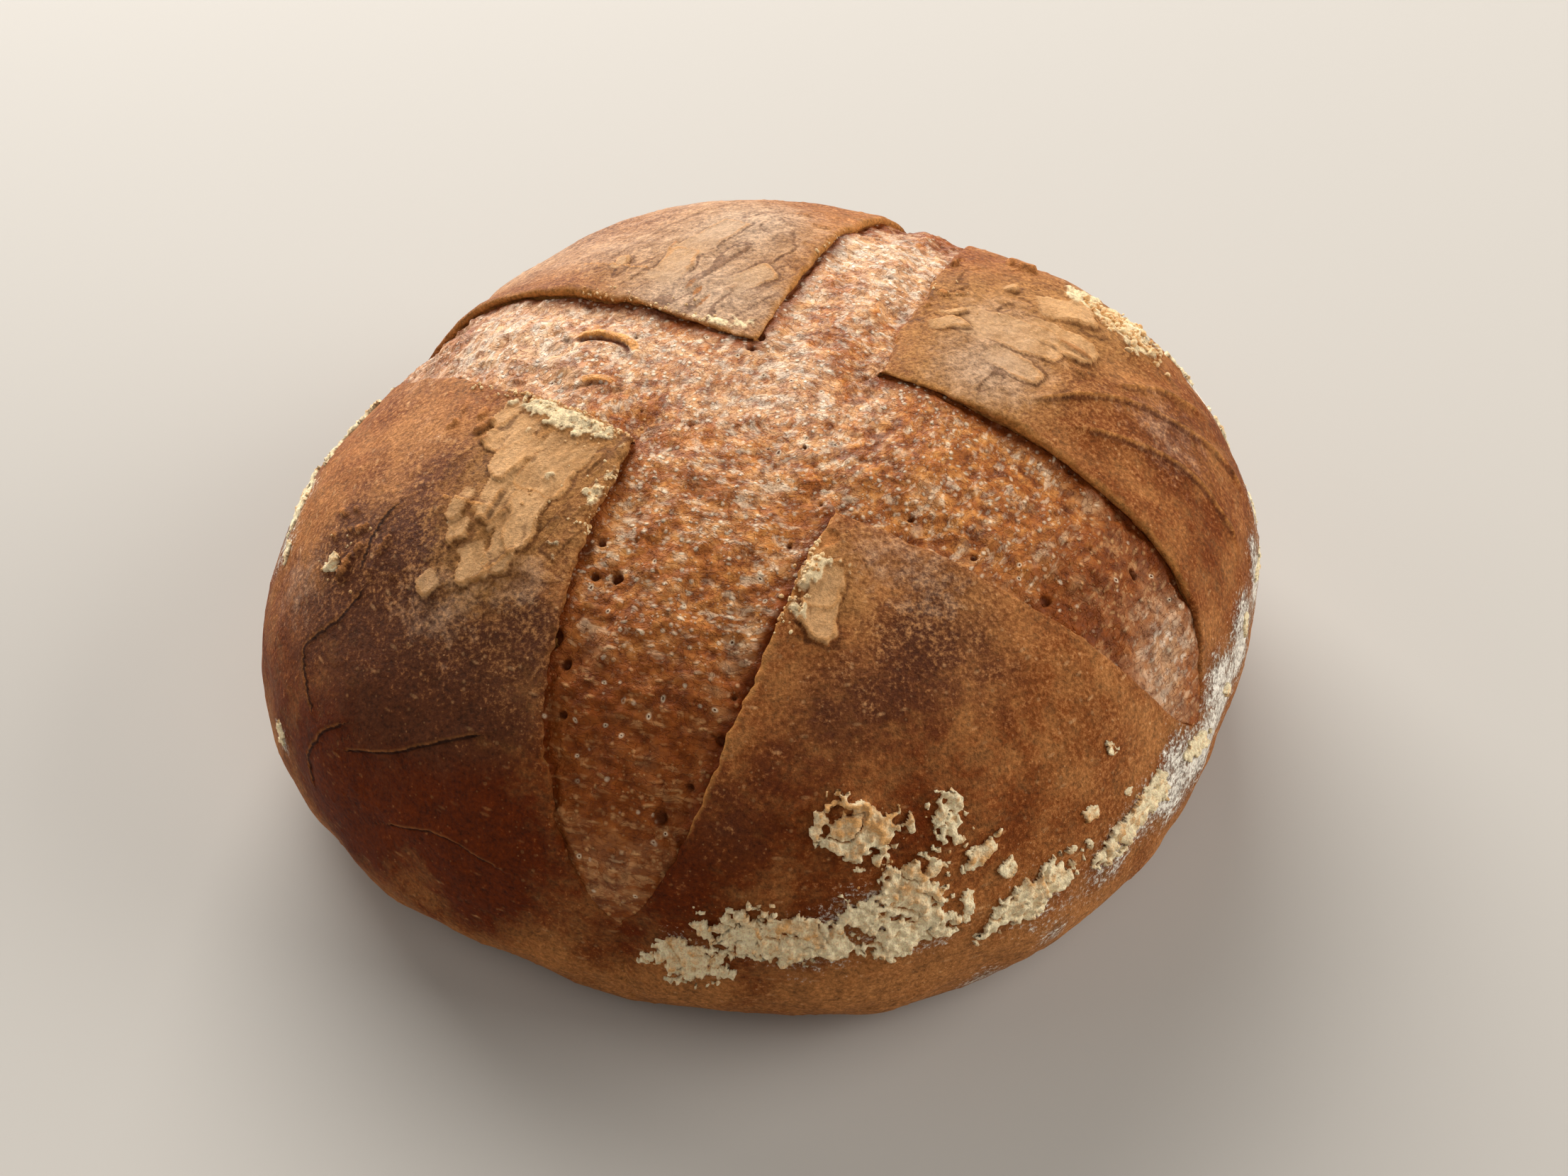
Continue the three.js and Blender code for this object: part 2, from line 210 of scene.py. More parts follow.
ARM_SWELLS = (Swell(11, 1.0, 37), Swell(4.6, 0.6, 83), Swell(2.2, 0.34, 89), Swell(1.1, 0.14, 97))
FOLD_STEEPNESS = 2.4
SKIN_SWIRL = Swell(9, 3.0, 151)
FOLDS = Swell(3.6, 0.16, 163)
FINE_SWIRL = Swell(4, 1.5, 165)
FINE_FOLDS = Swell(1.8, 0.16, 167)
CREASE_SWIRL = Swell(8, 2.5, 153)
CREASES = Swell(3.4, 0.24, 157)
CREASED_REACHES = (40, 70)
SMALL_BUBBLES = ((Swell(3.2, 0.2, 173), 0.6), (Swell(1.7, 0.2, 179), 0.45))
PINHOLES = Swell(5.5, 0.8, 181)
HOLE_FRAY = Swell(1.5, 0.25, 183)
PASTE_EDGE = (Swell(7, 0.35, 229), Swell(3, 0.4, 233), Swell(1.2, 0.4, 239))
CLOD_SWIRL = Swell(4, 1.2, 197)
CLODS = Swell(3.0, 0.3, 199)
GRIT = Swell(1.4, 0.4, 211)
FISSURE_SWIRL = Swell(4, 2, 223)
FISSURES = Swell(4.5, 0.5, 227)
PASTE_CRAGS = (Swell(2.2, 0.25, 228), Swell(0.9, 0.3, 230))
CRUMB_CRAGS = (Swell(0.7, 0.22, 241), Swell(0.35, 0.12, 251))

# Low bumps of the crust: flakes, nubs and torn bits
CRUST_LUMPS = rows(
    Lump,
    (54, 79, 6, 4, 20, 1.4), (48, 57, 3.6, 2.4, 0, 1), (46, 53, 3.2, 2.2, 40, 0.9),
    (50, 60, 3, 2, 10, 0.7), (46, 61, 2.6, 2, 0, 0.8), (43, 64, 3.6, 2.2, 0, 0.7),
    (45, 95, 10, 4, 10, 1.8), (17, 75, 13, 1.6, 47, 0.8), (11, 74, 5, 2, 60, 0.7),
    (0, 72, 3, 2, 0, 0.7), (2, 91, 2.6, 2.2, 0, 0.7), (-167, 103, 3.6, 2.2, 30, 0.9),
    (-166, 99, 2.6, 1.8, 60, 0.8), (-163, 101, 2.6, 1.8, 10, 0.8), (-162, 98, 4, 2, 70, 1),
    (-164, 106, 3, 2, 20, 0.8), (-159, 100, 4.4, 2.2, -60, 1.2), (-158, 105, 7.5, 2.6, -70, 1.4),
    (-157, 94, 8, 1.6, -65, 0.7), (-174.5, 67.5, 7, 2.2, -65, 1), (-179, 69, 4.6, 2.2, -20, 0.9),
    (-170.5, 66, 3.6, 1.8, -50, 0.8), (-177, 76, 3.6, 1.4, -65, 0.7), (180, 75, 9, 1.6, -10, 0.6),
    (-155, 100, 4, 1.2, -30, 0.5), (-152, 96, 3, 1.8, -60, 0.6), (105, 44, 6, 2, 20, 0.5),
    (116, 49, 6.4, 1.6, 22, 0.8), (115, 46.5, 6, 2.2, 22, -1), (115.5, 42.5, 8, 1.2, 15, -0.8),
    (113, 68, 9, 1.4, 40, 0.7), (85, 79, 6, 1.4, 50, 0.6), (81, 73, 6, 1.8, 10, 0.7),
    (53, 84, 4, 3.2, 0, -1.2), (-84.5, 60, 4.2, 2.4, 50, -1.6), (-76, 45, 6.5, 4.5, 20, -0.9),
    (-80, 114, 9, 2.4, 20, 1),
)

# Sheets of crust smeared flat, one over another
SHEETS = rows(
    Lump,
    (-160, 50, 24, 13, -65, 0.5), (-172, 59, 17, 9, -65, 0.7), (-165, 58, 19, 9, -68, 1.1),
    (-157, 63, 23, 8, -62, 0.8), (-150, 61, 27, 8, -64, 1.2), (-146, 70, 21, 8, -60, 0.9),
    (-145.5, 79, 14, 8, -48, 1.2), (-146.5, 90, 8, 5.5, 75, 1.1), (-157, 73, 12, 5, -66, 1.1),
    (-152, 77, 9, 6, -50, 1), (-179, 62, 12, 6, -40, 0.6), (28, 60, 34, 14, 52, 0.5),
    (36, 50, 14, 5, 64, 0.9), (39, 55, 10, 3, 66, 1.1), (22, 72, 26, 11, 50, 0.9),
    (30, 82, 20, 12, 60, 1.1), (39, 78, 6, 4.6, 30, 1.5), (16, 56, 20, 8, 55, 0.5),
    (17, 76, 14, 3, 47, 1.2), (125.5, 71, 11, 5, 30, 1), (118, 58, 24, 9, 24, 0.5),
    (106, 66, 26, 10, 28, 0.5), (100, 46, 18, 8, 20, 0.5), (-79, 57, 14, 9, 70, 0.8),
    (-81, 66, 14, 8, 75, 1.1), (-86, 55, 10, 3.2, 80, 1.2),
)

# Places where the crust has crumbled and the pale crumb shows
CRUMBLED = rows(
    Spot,
    (178.5, 61, 3.6, 0.75), (-178.5, 56, 3.8, 0.9), (-176, 51, 4, 1), (-173, 47, 4.2, 1),
    (-169.5, 43, 4, 1), (-166, 38, 3.2, 0.9), (-158, 36, 2.8, 0.7), (-148, 43, 3.4, 0.95),
    (-144, 49, 3.2, 0.9), (-170, 56, 4, 0.6), (-155, 54, 4, 0.6), (-137, 66, 4, 0.6),
    (-153, 80, 3, 0.6), (-164, 68, 3, 0.55), (34, 103, 6, 0.9), (30, 98, 6, 0.85), (26, 100, 7, 1),
    (21, 99, 6, 1), (27, 108, 8, 1), (34, 96, 5, 0.8), (32, 90, 6, 0.5), (-80, 52, 4.5, 0.9),
    (-84, 55, 3.5, 1), (-87, 60, 3, 0.8), (-86, 66, 3.5, 0.9), (-73, 55, 3, 0.6),
    (133, 46, 4.5, 0.6), (126, 39, 4.5, 0.7), (117, 34, 4.5, 0.7), (106, 32, 4.5, 0.7),
)

# Broad patches where the crust is driest and darkest, where it is deep red-brown, where it is
# dry and pale, where its skin has peeled to tan, and where it is dusted with flour. Where the dry,
# pale patches lie on the upper and back faces they also stand in for a painted sheen.
SCORCHED = rows(
    Spot,
    (-150, 108, 30, 0.8), (-135, 108, 22, 0.75), (-160, 96, 20, 0.55), (-146, 92, 10, 0.5),
    (-58, 72, 20, 0.5), (-80, 92, 20, 0.55), (-62, 92, 18, 0.45), (-95, 118, 16, 0.4),
    (-130, 88, 16, 0.6), (-128, 106, 15, 0.6), (-14, 66, 9, 0.3), (5, 92, 18, 0.15),
    (-8, 112, 14, 0.15), (140, 92, 26, 0.3), (100, 100, 26, 0.25), (-175, 78, 14, 0.35),
    (170, 130, 26, 0.3), (128, 128, 24, 0.3), (52, 122, 24, 0.3),
)
UMBER = rows(
    Spot,
    (120, 160, 40, 0.35), (70, 150, 36, 0.4), (30, 150, 30, 0.35), (160, 168, 30, 0.35),
    (-140, 140, 30, 0.95), (-142, 164, 18, 0.5), (-122, 162, 18, 0.5), (-162, 152, 18, 0.5),
    (-104, 158, 14, 0.4), (-124, 136, 22, 0.9), (-160, 132, 22, 0.35), (-104, 134, 20, 0.75),
    (-70, 112, 24, 0.55), (-90, 150, 16, 0.5), (-88, 114, 18, 0.45), (-12, 116, 18, 0.35),
    (2, 100, 20, 0.3), (8, 118, 16, 0.3), (95, 60, 8, 0.35), (121, 54, 7, 0.4), (176, 150, 24, 0.4),
)
# Dry, pale crust; on the upper and back faces also a painted sheen laid into its colour
CHALKY_AND_SHEEN = rows(
    Spot,
    (97, 72, 22, 1.15), (118, 46, 20, 1.1), (122, 82, 20, 0.7), (104, 40, 14, 0.7),
    (13, 50, 16, 0.85), (30, 64, 18, 0.55), (2, 99, 22, 0.5), (-58, 66, 18, 0.45),
    (-66, 50, 10, 0.35), (-143, 94, 16, 0.5), (-136, 76, 10, 0.5), (102, 112, 30, 0.8),
    (78, 118, 18, 0.7), (130, 112, 24, 0.8), (38, 112, 18, 0.5), (168, 96, 14, 0.4),
    (-162, 122, 18, 0.5), (-176, 84, 14, 0.35),
)
PEELED = rows(
    Spot,
    (-172, 52, 18, 0.9), (-160, 42, 14, 0.9), (-158, 62, 18, 0.9), (-147, 74, 15, 0.8),
    (-142, 84, 9, 0.6), (-138, 62, 12, 0.6), (22, 56, 24, 0.9), (28, 84, 24, 0.9),
    (12, 40, 16, 0.8), (40, 66, 18, 0.8), (30, 104, 18, 0.7), (2, 52, 12, 0.6), (-78, 62, 11, 0.7),
    (-82, 52, 8, 0.7), (-66, 46, 12, 0.3), (112, 40, 20, 0.8), (118, 62, 26, 0.8),
    (96, 60, 24, 0.7), (100, 85, 22, 0.5),
)
DUSTED = rows(
    Spot,
    (-80, 141, 9, 0.5), (-86, 152, 13, 0.5), (-74, 152, 9, 0.5), (-99, 160, 9, 0.6),
    (-62, 154, 11, 0.55), (-50, 160, 11, 0.6), (-45, 152, 9, 0.6), (-36, 147, 9, 0.55),
    (-24, 145, 9, 0.7), (-14, 142, 8, 0.7), (-5, 139, 8, 0.6), (-38, 158, 11, 0.75),
    (-30, 158, 11, 0.85), (-22, 156, 11, 0.9), (-14, 154, 10, 0.95), (-5, 150, 9, 0.9),
    (4, 142, 9, 0.95), (12, 133, 8, 0.95), (18, 124, 8, 0.9), (166, 128, 13, 0.6),
    (182, 130, 14, 0.6), (-171, 130, 9, 0.5), (157, 120, 8, 0.45), (119, 138, 15, 0.6),
    (104, 150, 12, 0.45), (66, 160, 14, 0.55), (46, 150, 12, 0.45), (-154, 156, 5, 0.9),
    (-66, 182, 8, 0.6), (-58, 170, 7, 0.5), (24, 108, 5, 0.7),
)

# Fine lines in the crust, each through a few headings and reaches: a crack is a groove with one
# side proud of the other, a stretch line is a low ridge, and a torn step is the edge of a layer.
CRACKS = (
    ((-148, 134), (-152, 129), (-154, 125), (-153, 119), (-152, 112), (-153, 104)),
    ((-156, 101), (-159, 97), (-161, 93), (-162, 89)),
    ((-146, 155), (-147, 147), (-146, 141), (-145, 135), (-143, 130)),
    ((-142, 136), (-136, 129), (-133, 123), (-130, 118), (-127, 114)),
    ((-135, 150), (-128, 143), (-120, 146)),
)
STRETCH_LINES = (
    ((2, 61), (5, 75), (6, 87), (5, 99), (4, 114), (2, 128)),
    ((-4, 74), (-3, 86), (-3, 99), (-5, 114), (-8, 126)),
    ((9, 84), (11, 98), (10, 112)),
)
TORN_STEPS = (
    ((-142, 83), (-142, 79), (-142, 76), (-142, 71)),
    ((-160, 77), (-157, 73), (-153, 69)),
    ((-155, 64), (-152, 68), (-150, 71)),
    ((130, 81), (127, 72), (121, 60)),
)
# A crack's proud side and groove, and how wide the painted highlight on the crests of lines and
# the painted shadow at their feet are
CRACK_RISE = 0.6
CRACK_SLOPE = 2.5
CRACK_DEPTH = 0.35
CRACK_WIDTH = 0.5
CREST_HIGHLIGHT_WIDTH = (0.6, 1.3)
LINE_FOOT_SHADOW_WIDTH = (0.3, 1.2)
# How high stretch lines and torn steps stand, how far they slope away, and to which side
LINE_STEEPS = ((STRETCH_LINES, 1.1, 3.0, 1), (TORN_STEPS, 0.9, 4.0, -1))

# Holes of burst bubbles in the skin of the arms
HOLES = rows(
    Hole,
    (168, 86, 2.3, 2.2), (-128, 66, 1.2, 1.8), (-124, 64, 1.6, 2.2), (-133, 57, 1.2, 1.8),
    (-126, 85, 2.4, 3.2), (-122, 90, 1.4, 2.2), (-119, 102, 1.2, 1.4), (99, 27, 1.7, 2),
    (106, 24, 1.3, 1.6), (-97, 99, 1.5, 1.6), (-96, 88, 0.8, 1.4), (-100, 112, 1, 1.2),
    (-103, 121, 2, 1.3), (-13, 74, 0.8, 1.6), (-16, 93, 1.6, 1.6), (-18, 101, 1, 1.4),
    (-26, 102, 1.7, 2.2), (-22, 113, 1.1, 1.4), (-22, 78, 1.8, 0.9), (-41, 88, 1.8, 1.6),
    (-45, 67, 1, 1.4), (-49, 48, 0.8, 1.2), (-43, 103, 1.1, 1.2), (-60, 12, 0.8, 1.2),
    (-86, 44, 0.9, 1.2), (145, 45, 0.7, 1), (60, 60, 0.8, 1), (70, 84, 1, 1.2),
    (152, 104, 1.4, 1.4),
)

# Parts of the arms where the skin is thinnest and palest; on the back arms this paleness
# also stands in for a painted sheen
PALE_AND_SHEEN = rows(
    Spot,
    (155, 72, 38, 0.75), (66, 70, 40, 0.7), (100, 14, 20, 0.5), (30, 12, 18, 0.35),
    (-112, 24, 12, 0.3), (-30, 122, 18, 0.8), (-36, 132, 12, 0.5), (-107, 134, 11, 0.4),
    (152, 118, 26, 0.7),
)

# Thin skins left standing round the back of two large bubbles that broke, and how deep the hollow
# in front of each one is
Blister = namedtuple("Blister", "line hollow stands")
BLISTERS = (
    Blister(((153, 61), (149, 54), (147.5, 48), (148, 44), (152, 41)), 1.3, 1.0),
    Blister(((171, 51), (168, 47), (167, 43), (169, 40)), 0.8, 0.5),
)
# How the standing skin tapers and how thick it is, and where the hollow begins and ends
WALL_END = 4
WALL_WIDTH = (0.5, 1.4)
HOLLOW_START = (1.0, 1.5)
HOLLOW_END = (1.8, 3.4)

# Crust torn up along the top of a lump of paste
CURLS = (
    ((-88, 118), (-88, 115), (-86, 113)),
    ((-83, 116), (-81, 113), (-78, 113)),
    ((-72, 115), (-70, 114)),
)
CURL_RISE = 1.1
CURL_WIDTH = (0.4, 1.3)

# Lumps of flour paste, largest first
PASTE_LUMPS = rows(
    Lump,
    (-88, 149, 36, 15, 0, 2.3), (-76, 150, 24, 12, 10, 2.2), (-62, 152, 28, 11, 20, 2.3),
    (-79, 120, 21, 16, -21, 2.8), (-46, 153, 25, 10, 12, 2), (-99, 160, 20, 13, 27, 2.2),
    (-75, 137, 17, 12, -40, 2.4), (-80, 143, 14, 9, -25, 1.8), (-70, 121, 9, 12, 0, 2.2),
    (-67, 133, 10, 5, 26, 1.6), (-64, 140, 6, 5, 0, 1.4), (-73, 149, 7, 6, 0, 1.4),
    (-69, 146, 4, 8, 0, 1.4), (-52, 139, 7, 4, -10, 1.3), (-47, 127, 3, 6, 30, 1.2),
    (-46, 142, 7, 3.4, -40, 1.1), (-32, 152, 15, 6, -26, 1.3), (-22, 153, 10, 4, -40, 1.1),
    (-13, 149, 10, 4, -70, 1.1), (-4, 147, 14, 4, 10, 1), (5, 140, 16, 4, 14, 1),
    (13, 130, 14, 4, 20, 1.1), (26, 104, 10, 6, 60, 1.4), (21, 118, 12, 5, 60, 1.2),
    (-160, 108, 5, 4, 60, 1.6), (-154, 155, 5, 9, 0, 1), (183, 125, 17, 6, -14, 1.1),
    (190, 127, 8, 4.5, 10, 1), (175, 123, 10, 5, 20, 1.2), (168, 122, 15, 7, -12, 1.4),
    (161, 118, 7, 6, 30, 1), (157, 117, 9, 4, -20, 1.2), (165, 131, 9, 6, 35, 1.2),
    (177, 134, 12, 6, -25, 1.2), (120, 132, 20, 9, 10, 1.4), (112, 139, 12, 7, -20, 1.3),
    (128, 140, 9, 5, 30, 1.2), (64, 158, 16, 7, 0, 1.2),
)

# Where the paste is toasted brown
TOASTED = rows(
    Spot,
    (-82, 115, 8, 0.9), (-76, 117, 6, 0.7), (-75, 133, 6, 0.7), (-88, 143, 9, 0.5),
    (-99, 154, 8, 0.5), (-52, 139, 4, 0.7), (-66, 132, 6, 0.6), (-62, 146, 5, 0.5),
    (-46, 146, 6, 0.4),
)

# Parts of the crust that bear paste: first and last heading, first and last reach
PastePatch = namedtuple("PastePatch", "from_heading to_heading from_reach to_reach")
PASTE_PATCHES = (
    PastePatch(-109, 12, 110, 170),
    PastePatch(12, 36, 94, 136),
    PastePatch(-166, -148, 100, 164),
    PastePatch(148, 197, 109, 142),
    PastePatch(52, 138, 124, 166),
)
# How finely the paste is divided, how deep its shell reaches, and the least cover that is kept
PASTE_SPACING = 0.42
PASTE_SHELL = 1.2
LEAST_COVER = 0.02

# Loose crumbs: where a heap lies, how widely it is strewn, how many, and their size. Sizes and
# shapes vary between two shares, and those at an edge lie a little inside it.
CrumbHeap = namedtuple("CrumbHeap", "heading reach spread count size")
CRUMB_HEAPS = rows(
    CrumbHeap,
    (-80, 52, 2.4, 20, 1.1), (-85, 62, 2, 14, 1), (-170, 38, 3.5, 14, 0.7),
    (-162, 43, 3.5, 12, 0.7), (-150, 55, 5, 14, 0.7), (27, 101, 5, 90, 1.9), (22, 104, 4, 40, 1.5),
    (45, 60, 5, 8, 0.8), (-74, 128, 9, 16, 0.7), (-160, 104, 4, 16, 0.8),
)

CRUMB_SEED = 7
CRUMB_SUNK = 0.12
CRUMB_SHAPES = (0.6, 1.1)
HEAP_SIZES = (0.5, 1.3)
EDGE_SIZES = (0.4, 1.4)
EDGE_STRAY = 0.9
EDGE_INSET = 0.2

# Crumbs along torn edges: the arm, on which side of it the petal lies, from which reach to which
EdgeCrumbs = namedtuple("EdgeCrumbs", "arm side from_reach to_reach count size")
EDGE_CRUMBS = (
    EdgeCrumbs(2, 1, 33, 76, 150, 0.8),
    EdgeCrumbs(3, -1, 41, 58, 50, 0.8),
    EdgeCrumbs(2, -1, 32, 70, 60, 0.7),
    EdgeCrumbs(3, 1, 44, 72, 50, 0.9),
    EdgeCrumbs(1, 1, 60, 86, 16, 0.7),
)

# ---------------------------------------------------------------------------------------------
# Settings


def linear(hex_colour):
    """An sRGB hex colour as linear red, green, blue and alpha."""
    shares = [int(hex_colour[place : place + 2], 16) / 255 for place in (1, 3, 5)]
    return (*[s / 12.92 if s <= 0.04045 else ((s + 0.055) / 1.055) ** 2.4 for s in shares], 1.0)


def length_setting(name, description, millimetres):
    """A length that the panel shows, given in millimetres."""
    return bpy.props.FloatProperty(
        name=name, description=description, default=millimetres * MM, min=0, unit="LENGTH"
    )


def share_setting(name, description, value):
    """A plain number that the panel shows."""
    return bpy.props.FloatProperty(name=name, description=description, default=value, min=0)


def colour_setting(name, description, hex_colour):
    """A colour that the panel shows."""
    return bpy.props.FloatVectorProperty(
        name=name,
        description=description,
        default=linear(hex_colour),
        size=4,
        min=0,
        max=1,
        subtype="COLOR",
    )


class LoafForm(bpy.types.PropertyGroup):
    """Sizes of the dome and of the cuts."""

    widest_radius: length_setting("Widest radius", "Mean radius at the widest level", 124.6)
    dome_height: length_setting("Height", "Top of the smooth dome above the foot", 112.4)
    widest_level: length_setting("Widest level", "Height of the widest level", 29.5)
    foot_ratio: share_setting("Foot", "Radius of the flat foot over the widest radius", 0.8)
    dome_power: share_setting("Fullness", "2 is an ellipse, more is a fuller shoulder", 2.34)
    middle_x: bpy.props.FloatProperty(
        name="Cross X", description="Middle of the cross", default=2 * MM, unit="LENGTH"
    )
    middle_y: bpy.props.FloatProperty(
        name="Cross Y", description="Middle of the cross", default=-20 * MM, unit="LENGTH"
    )
    arm_depth: length_setting("Cut depth", "How deep an arm's edge lies below the dome", 2.6)
    lip_roll: length_setting("Lip roll", "How far back from its edge a lip is raised", 11)


class CrustFinish(bpy.types.PropertyGroup):
    """Colours of the browned crust."""

    golden: colour_setting("Golden", "Lightly baked crust", "#ba7840")
    chestnut: colour_setting("Chestnut", "Well baked crust", "#8c4a1c")
    # Also used for the painted shadow at the feet of sheets, layers and lines
    scorched: colour_setting("Scorched", "Darkest, driest crust", "#5e321a")
    umber: colour_setting("Umber", "Deep red-brown of the thick shoulder", "#662703")
    peeled: colour_setting("Peeled", "Tan sheet of smeared crust", "#e2ae77")
    smeared: colour_setting("Smeared", "Thin, sandy smear", "#aa7743")
    dry: colour_setting("Dry", "Dried specks of the outer skin", "#b8824e")
    # Dry, floury crust, also standing in for a painted sheen on the upper and back faces
    chalky_and_sheen: colour_setting("Chalky", "Dry, floury crust", "#c9a88a")
    # Also used for the painted highlight on torn rims and the crests of lines
    torn: colour_setting("Torn", "Torn edge of a lip", "#cf8c48")
    crumbled: colour_setting("Crumbled", "Broken crumb showing through", "#f2d6a6")
    # Painted shade along the bottoms of cracks
    char: colour_setting("Crack shade", "Bottom of a crack", "#2a140a")
    flour: colour_setting("Flour", "Dusting of flour", "#f4ead8")


class SkinFinish(bpy.types.PropertyGroup):
    """Colours of the skin that swelled up in the cross."""

    amber: colour_setting("Amber", "Main colour of the skin", "#ae6228")
    caramel: colour_setting("Caramel", "Deeply baked skin far down the arms", "#7e3806")
    # Also the painted shade in creases, in low places and under the lips
    russet: colour_setting("Russet", "Creases and thin places", "#7a360c")
    honey: colour_setting("Honey", "Thick translucent folds", "#cc8a45")
    milky: colour_setting("Milky", "Thin, pale stretches of the skin", "#e2b58a")
    # Also used for painted glints on the high places of the skin
    cream: colour_setting("Cream", "Small bubbles with a pale skin", "#f2d8b4")
    # Also a painted sheen on the back arms
    pale: colour_setting("Pale", "The thinnest, whitest skin", "#fbe9d2")
    # A painted glow, as if light shone through the standing skin from behind
    film: colour_setting("Film", "Thin skin left standing round a burst bubble", "#eca052")
    # Painted shade inside holes, pinholes and the hollows of burst bubbles
    hole_shade: colour_setting("Pit", "Inside of a burst bubble", "#6b3414")


class PasteFinish(bpy.types.PropertyGroup):
    """Colours of the flour paste and the crumbs."""

    paste: colour_setting("Paste", "Dry flour paste", "#ffe9bc")
    # Also laid in the fissures and low places of the paste as painted shade
    toasted: colour_setting("Toasted", "Toasted high points of the paste", "#e3a45c")
    crumb: colour_setting("Crumb", "Pale broken crumb", "#efcf9a")
    browned: colour_setting("Browned", "Browned side of a crumb", "#cf9350")


# ---------------------------------------------------------------------------------------------
# Number helpers


def ramp(value, start, end):
    """0 before the start, 1 past the end, and smooth between them."""
    share = np.clip((value - start) / (end - start), 0, 1)
    return share * share * (3 - 2 * share)


def mix(first, second, share):
    """From the first value to the second."""
    return first + (second - first) * share


# Large numbers that scramble the place of a lattice cell into a number of its own
SCRAMBLE = ((374761393, 668265263, 2147483647), 1274126177, 1103515245, 2246822519)


def lattice_value(cell, seed):
    """Repeatable numbers from -1 to 1 for cells of a whole-number lattice."""
    by_axis, by_seed, first, second = SCRAMBLE
    bits = np.uint32(seed * by_seed % 2**32)
    for axis, factor in enumerate(by_axis):
        bits = bits ^ (cell[:, axis].astype(np.uint32) * np.uint32(factor))
    bits = bits * np.uint32(first)
    bits = (bits ^ (bits >> np.uint32(15))) * np.uint32(second)
    bits ^= bits >> np.uint32(13)
    return bits / (2**32 - 1) * 2 - 1


def unevenness(points, size, seed):
    """Smooth unevenness from -1 to 1, with bumps of about the given size."""
    cells = points / size
    low = np.floor(cells)
    blend = ramp(cells - low, 0, 1)
    low = low.astype(np.int64)
    total = np.zeros(len(points))
    for step in itertools.product((0, 1), repeat=3):
        weight = np.prod(np.where(step, blend, 1 - blend), axis=1)
        total += weight * lattice_value(low + step, seed)
    return total


def bumps(points, *swells):
    """Unevenness of one or more kinds of bump, in millimetres."""
    return sum(swell.height * unevenness(points, swell.size, swell.seed) for swell in swells)


def swirled(points, swell):
    """Points pushed about sideways, so that a pattern read at them swirls."""
    pushes = [unevenness(points, swell.size, swell.seed + axis) for axis in range(3)]
    return points + swell.height * np.stack(pushes, axis=1)


def folded(points, swell):
    """1 along the crests of winding folds, falling away on both sides."""
    return 1 - FOLD_STEEPNESS * np.abs(unevenness(points, swell.size, swell.seed))


def nearest_cell(points, swell):
    """Distance to the nearest of scattered points, over their spacing, and its own number."""
    cells = points / swell.size
    low = np.floor(cells).astype(np.int64)
    nearest = np.full(len(points), 9.0)
    number = np.zeros(len(points))
    for step in itertools.product((-1, 0, 1), repeat=3):
        cell = low + step
        shifts = [0.5 + 0.45 * lattice_value(cell, swell.seed + axis) for axis in range(3)]
        distance = np.linalg.norm(cells - cell - np.stack(shifts, axis=1), axis=1)
        closer = distance < nearest
        nearest = np.where(closer, distance, nearest)
        number = np.where(closer, 0.5 + 0.5 * lattice_value(cell, swell.seed + 3), number)
    return nearest, number


# ---------------------------------------------------------------------------------------------
# The smooth dome


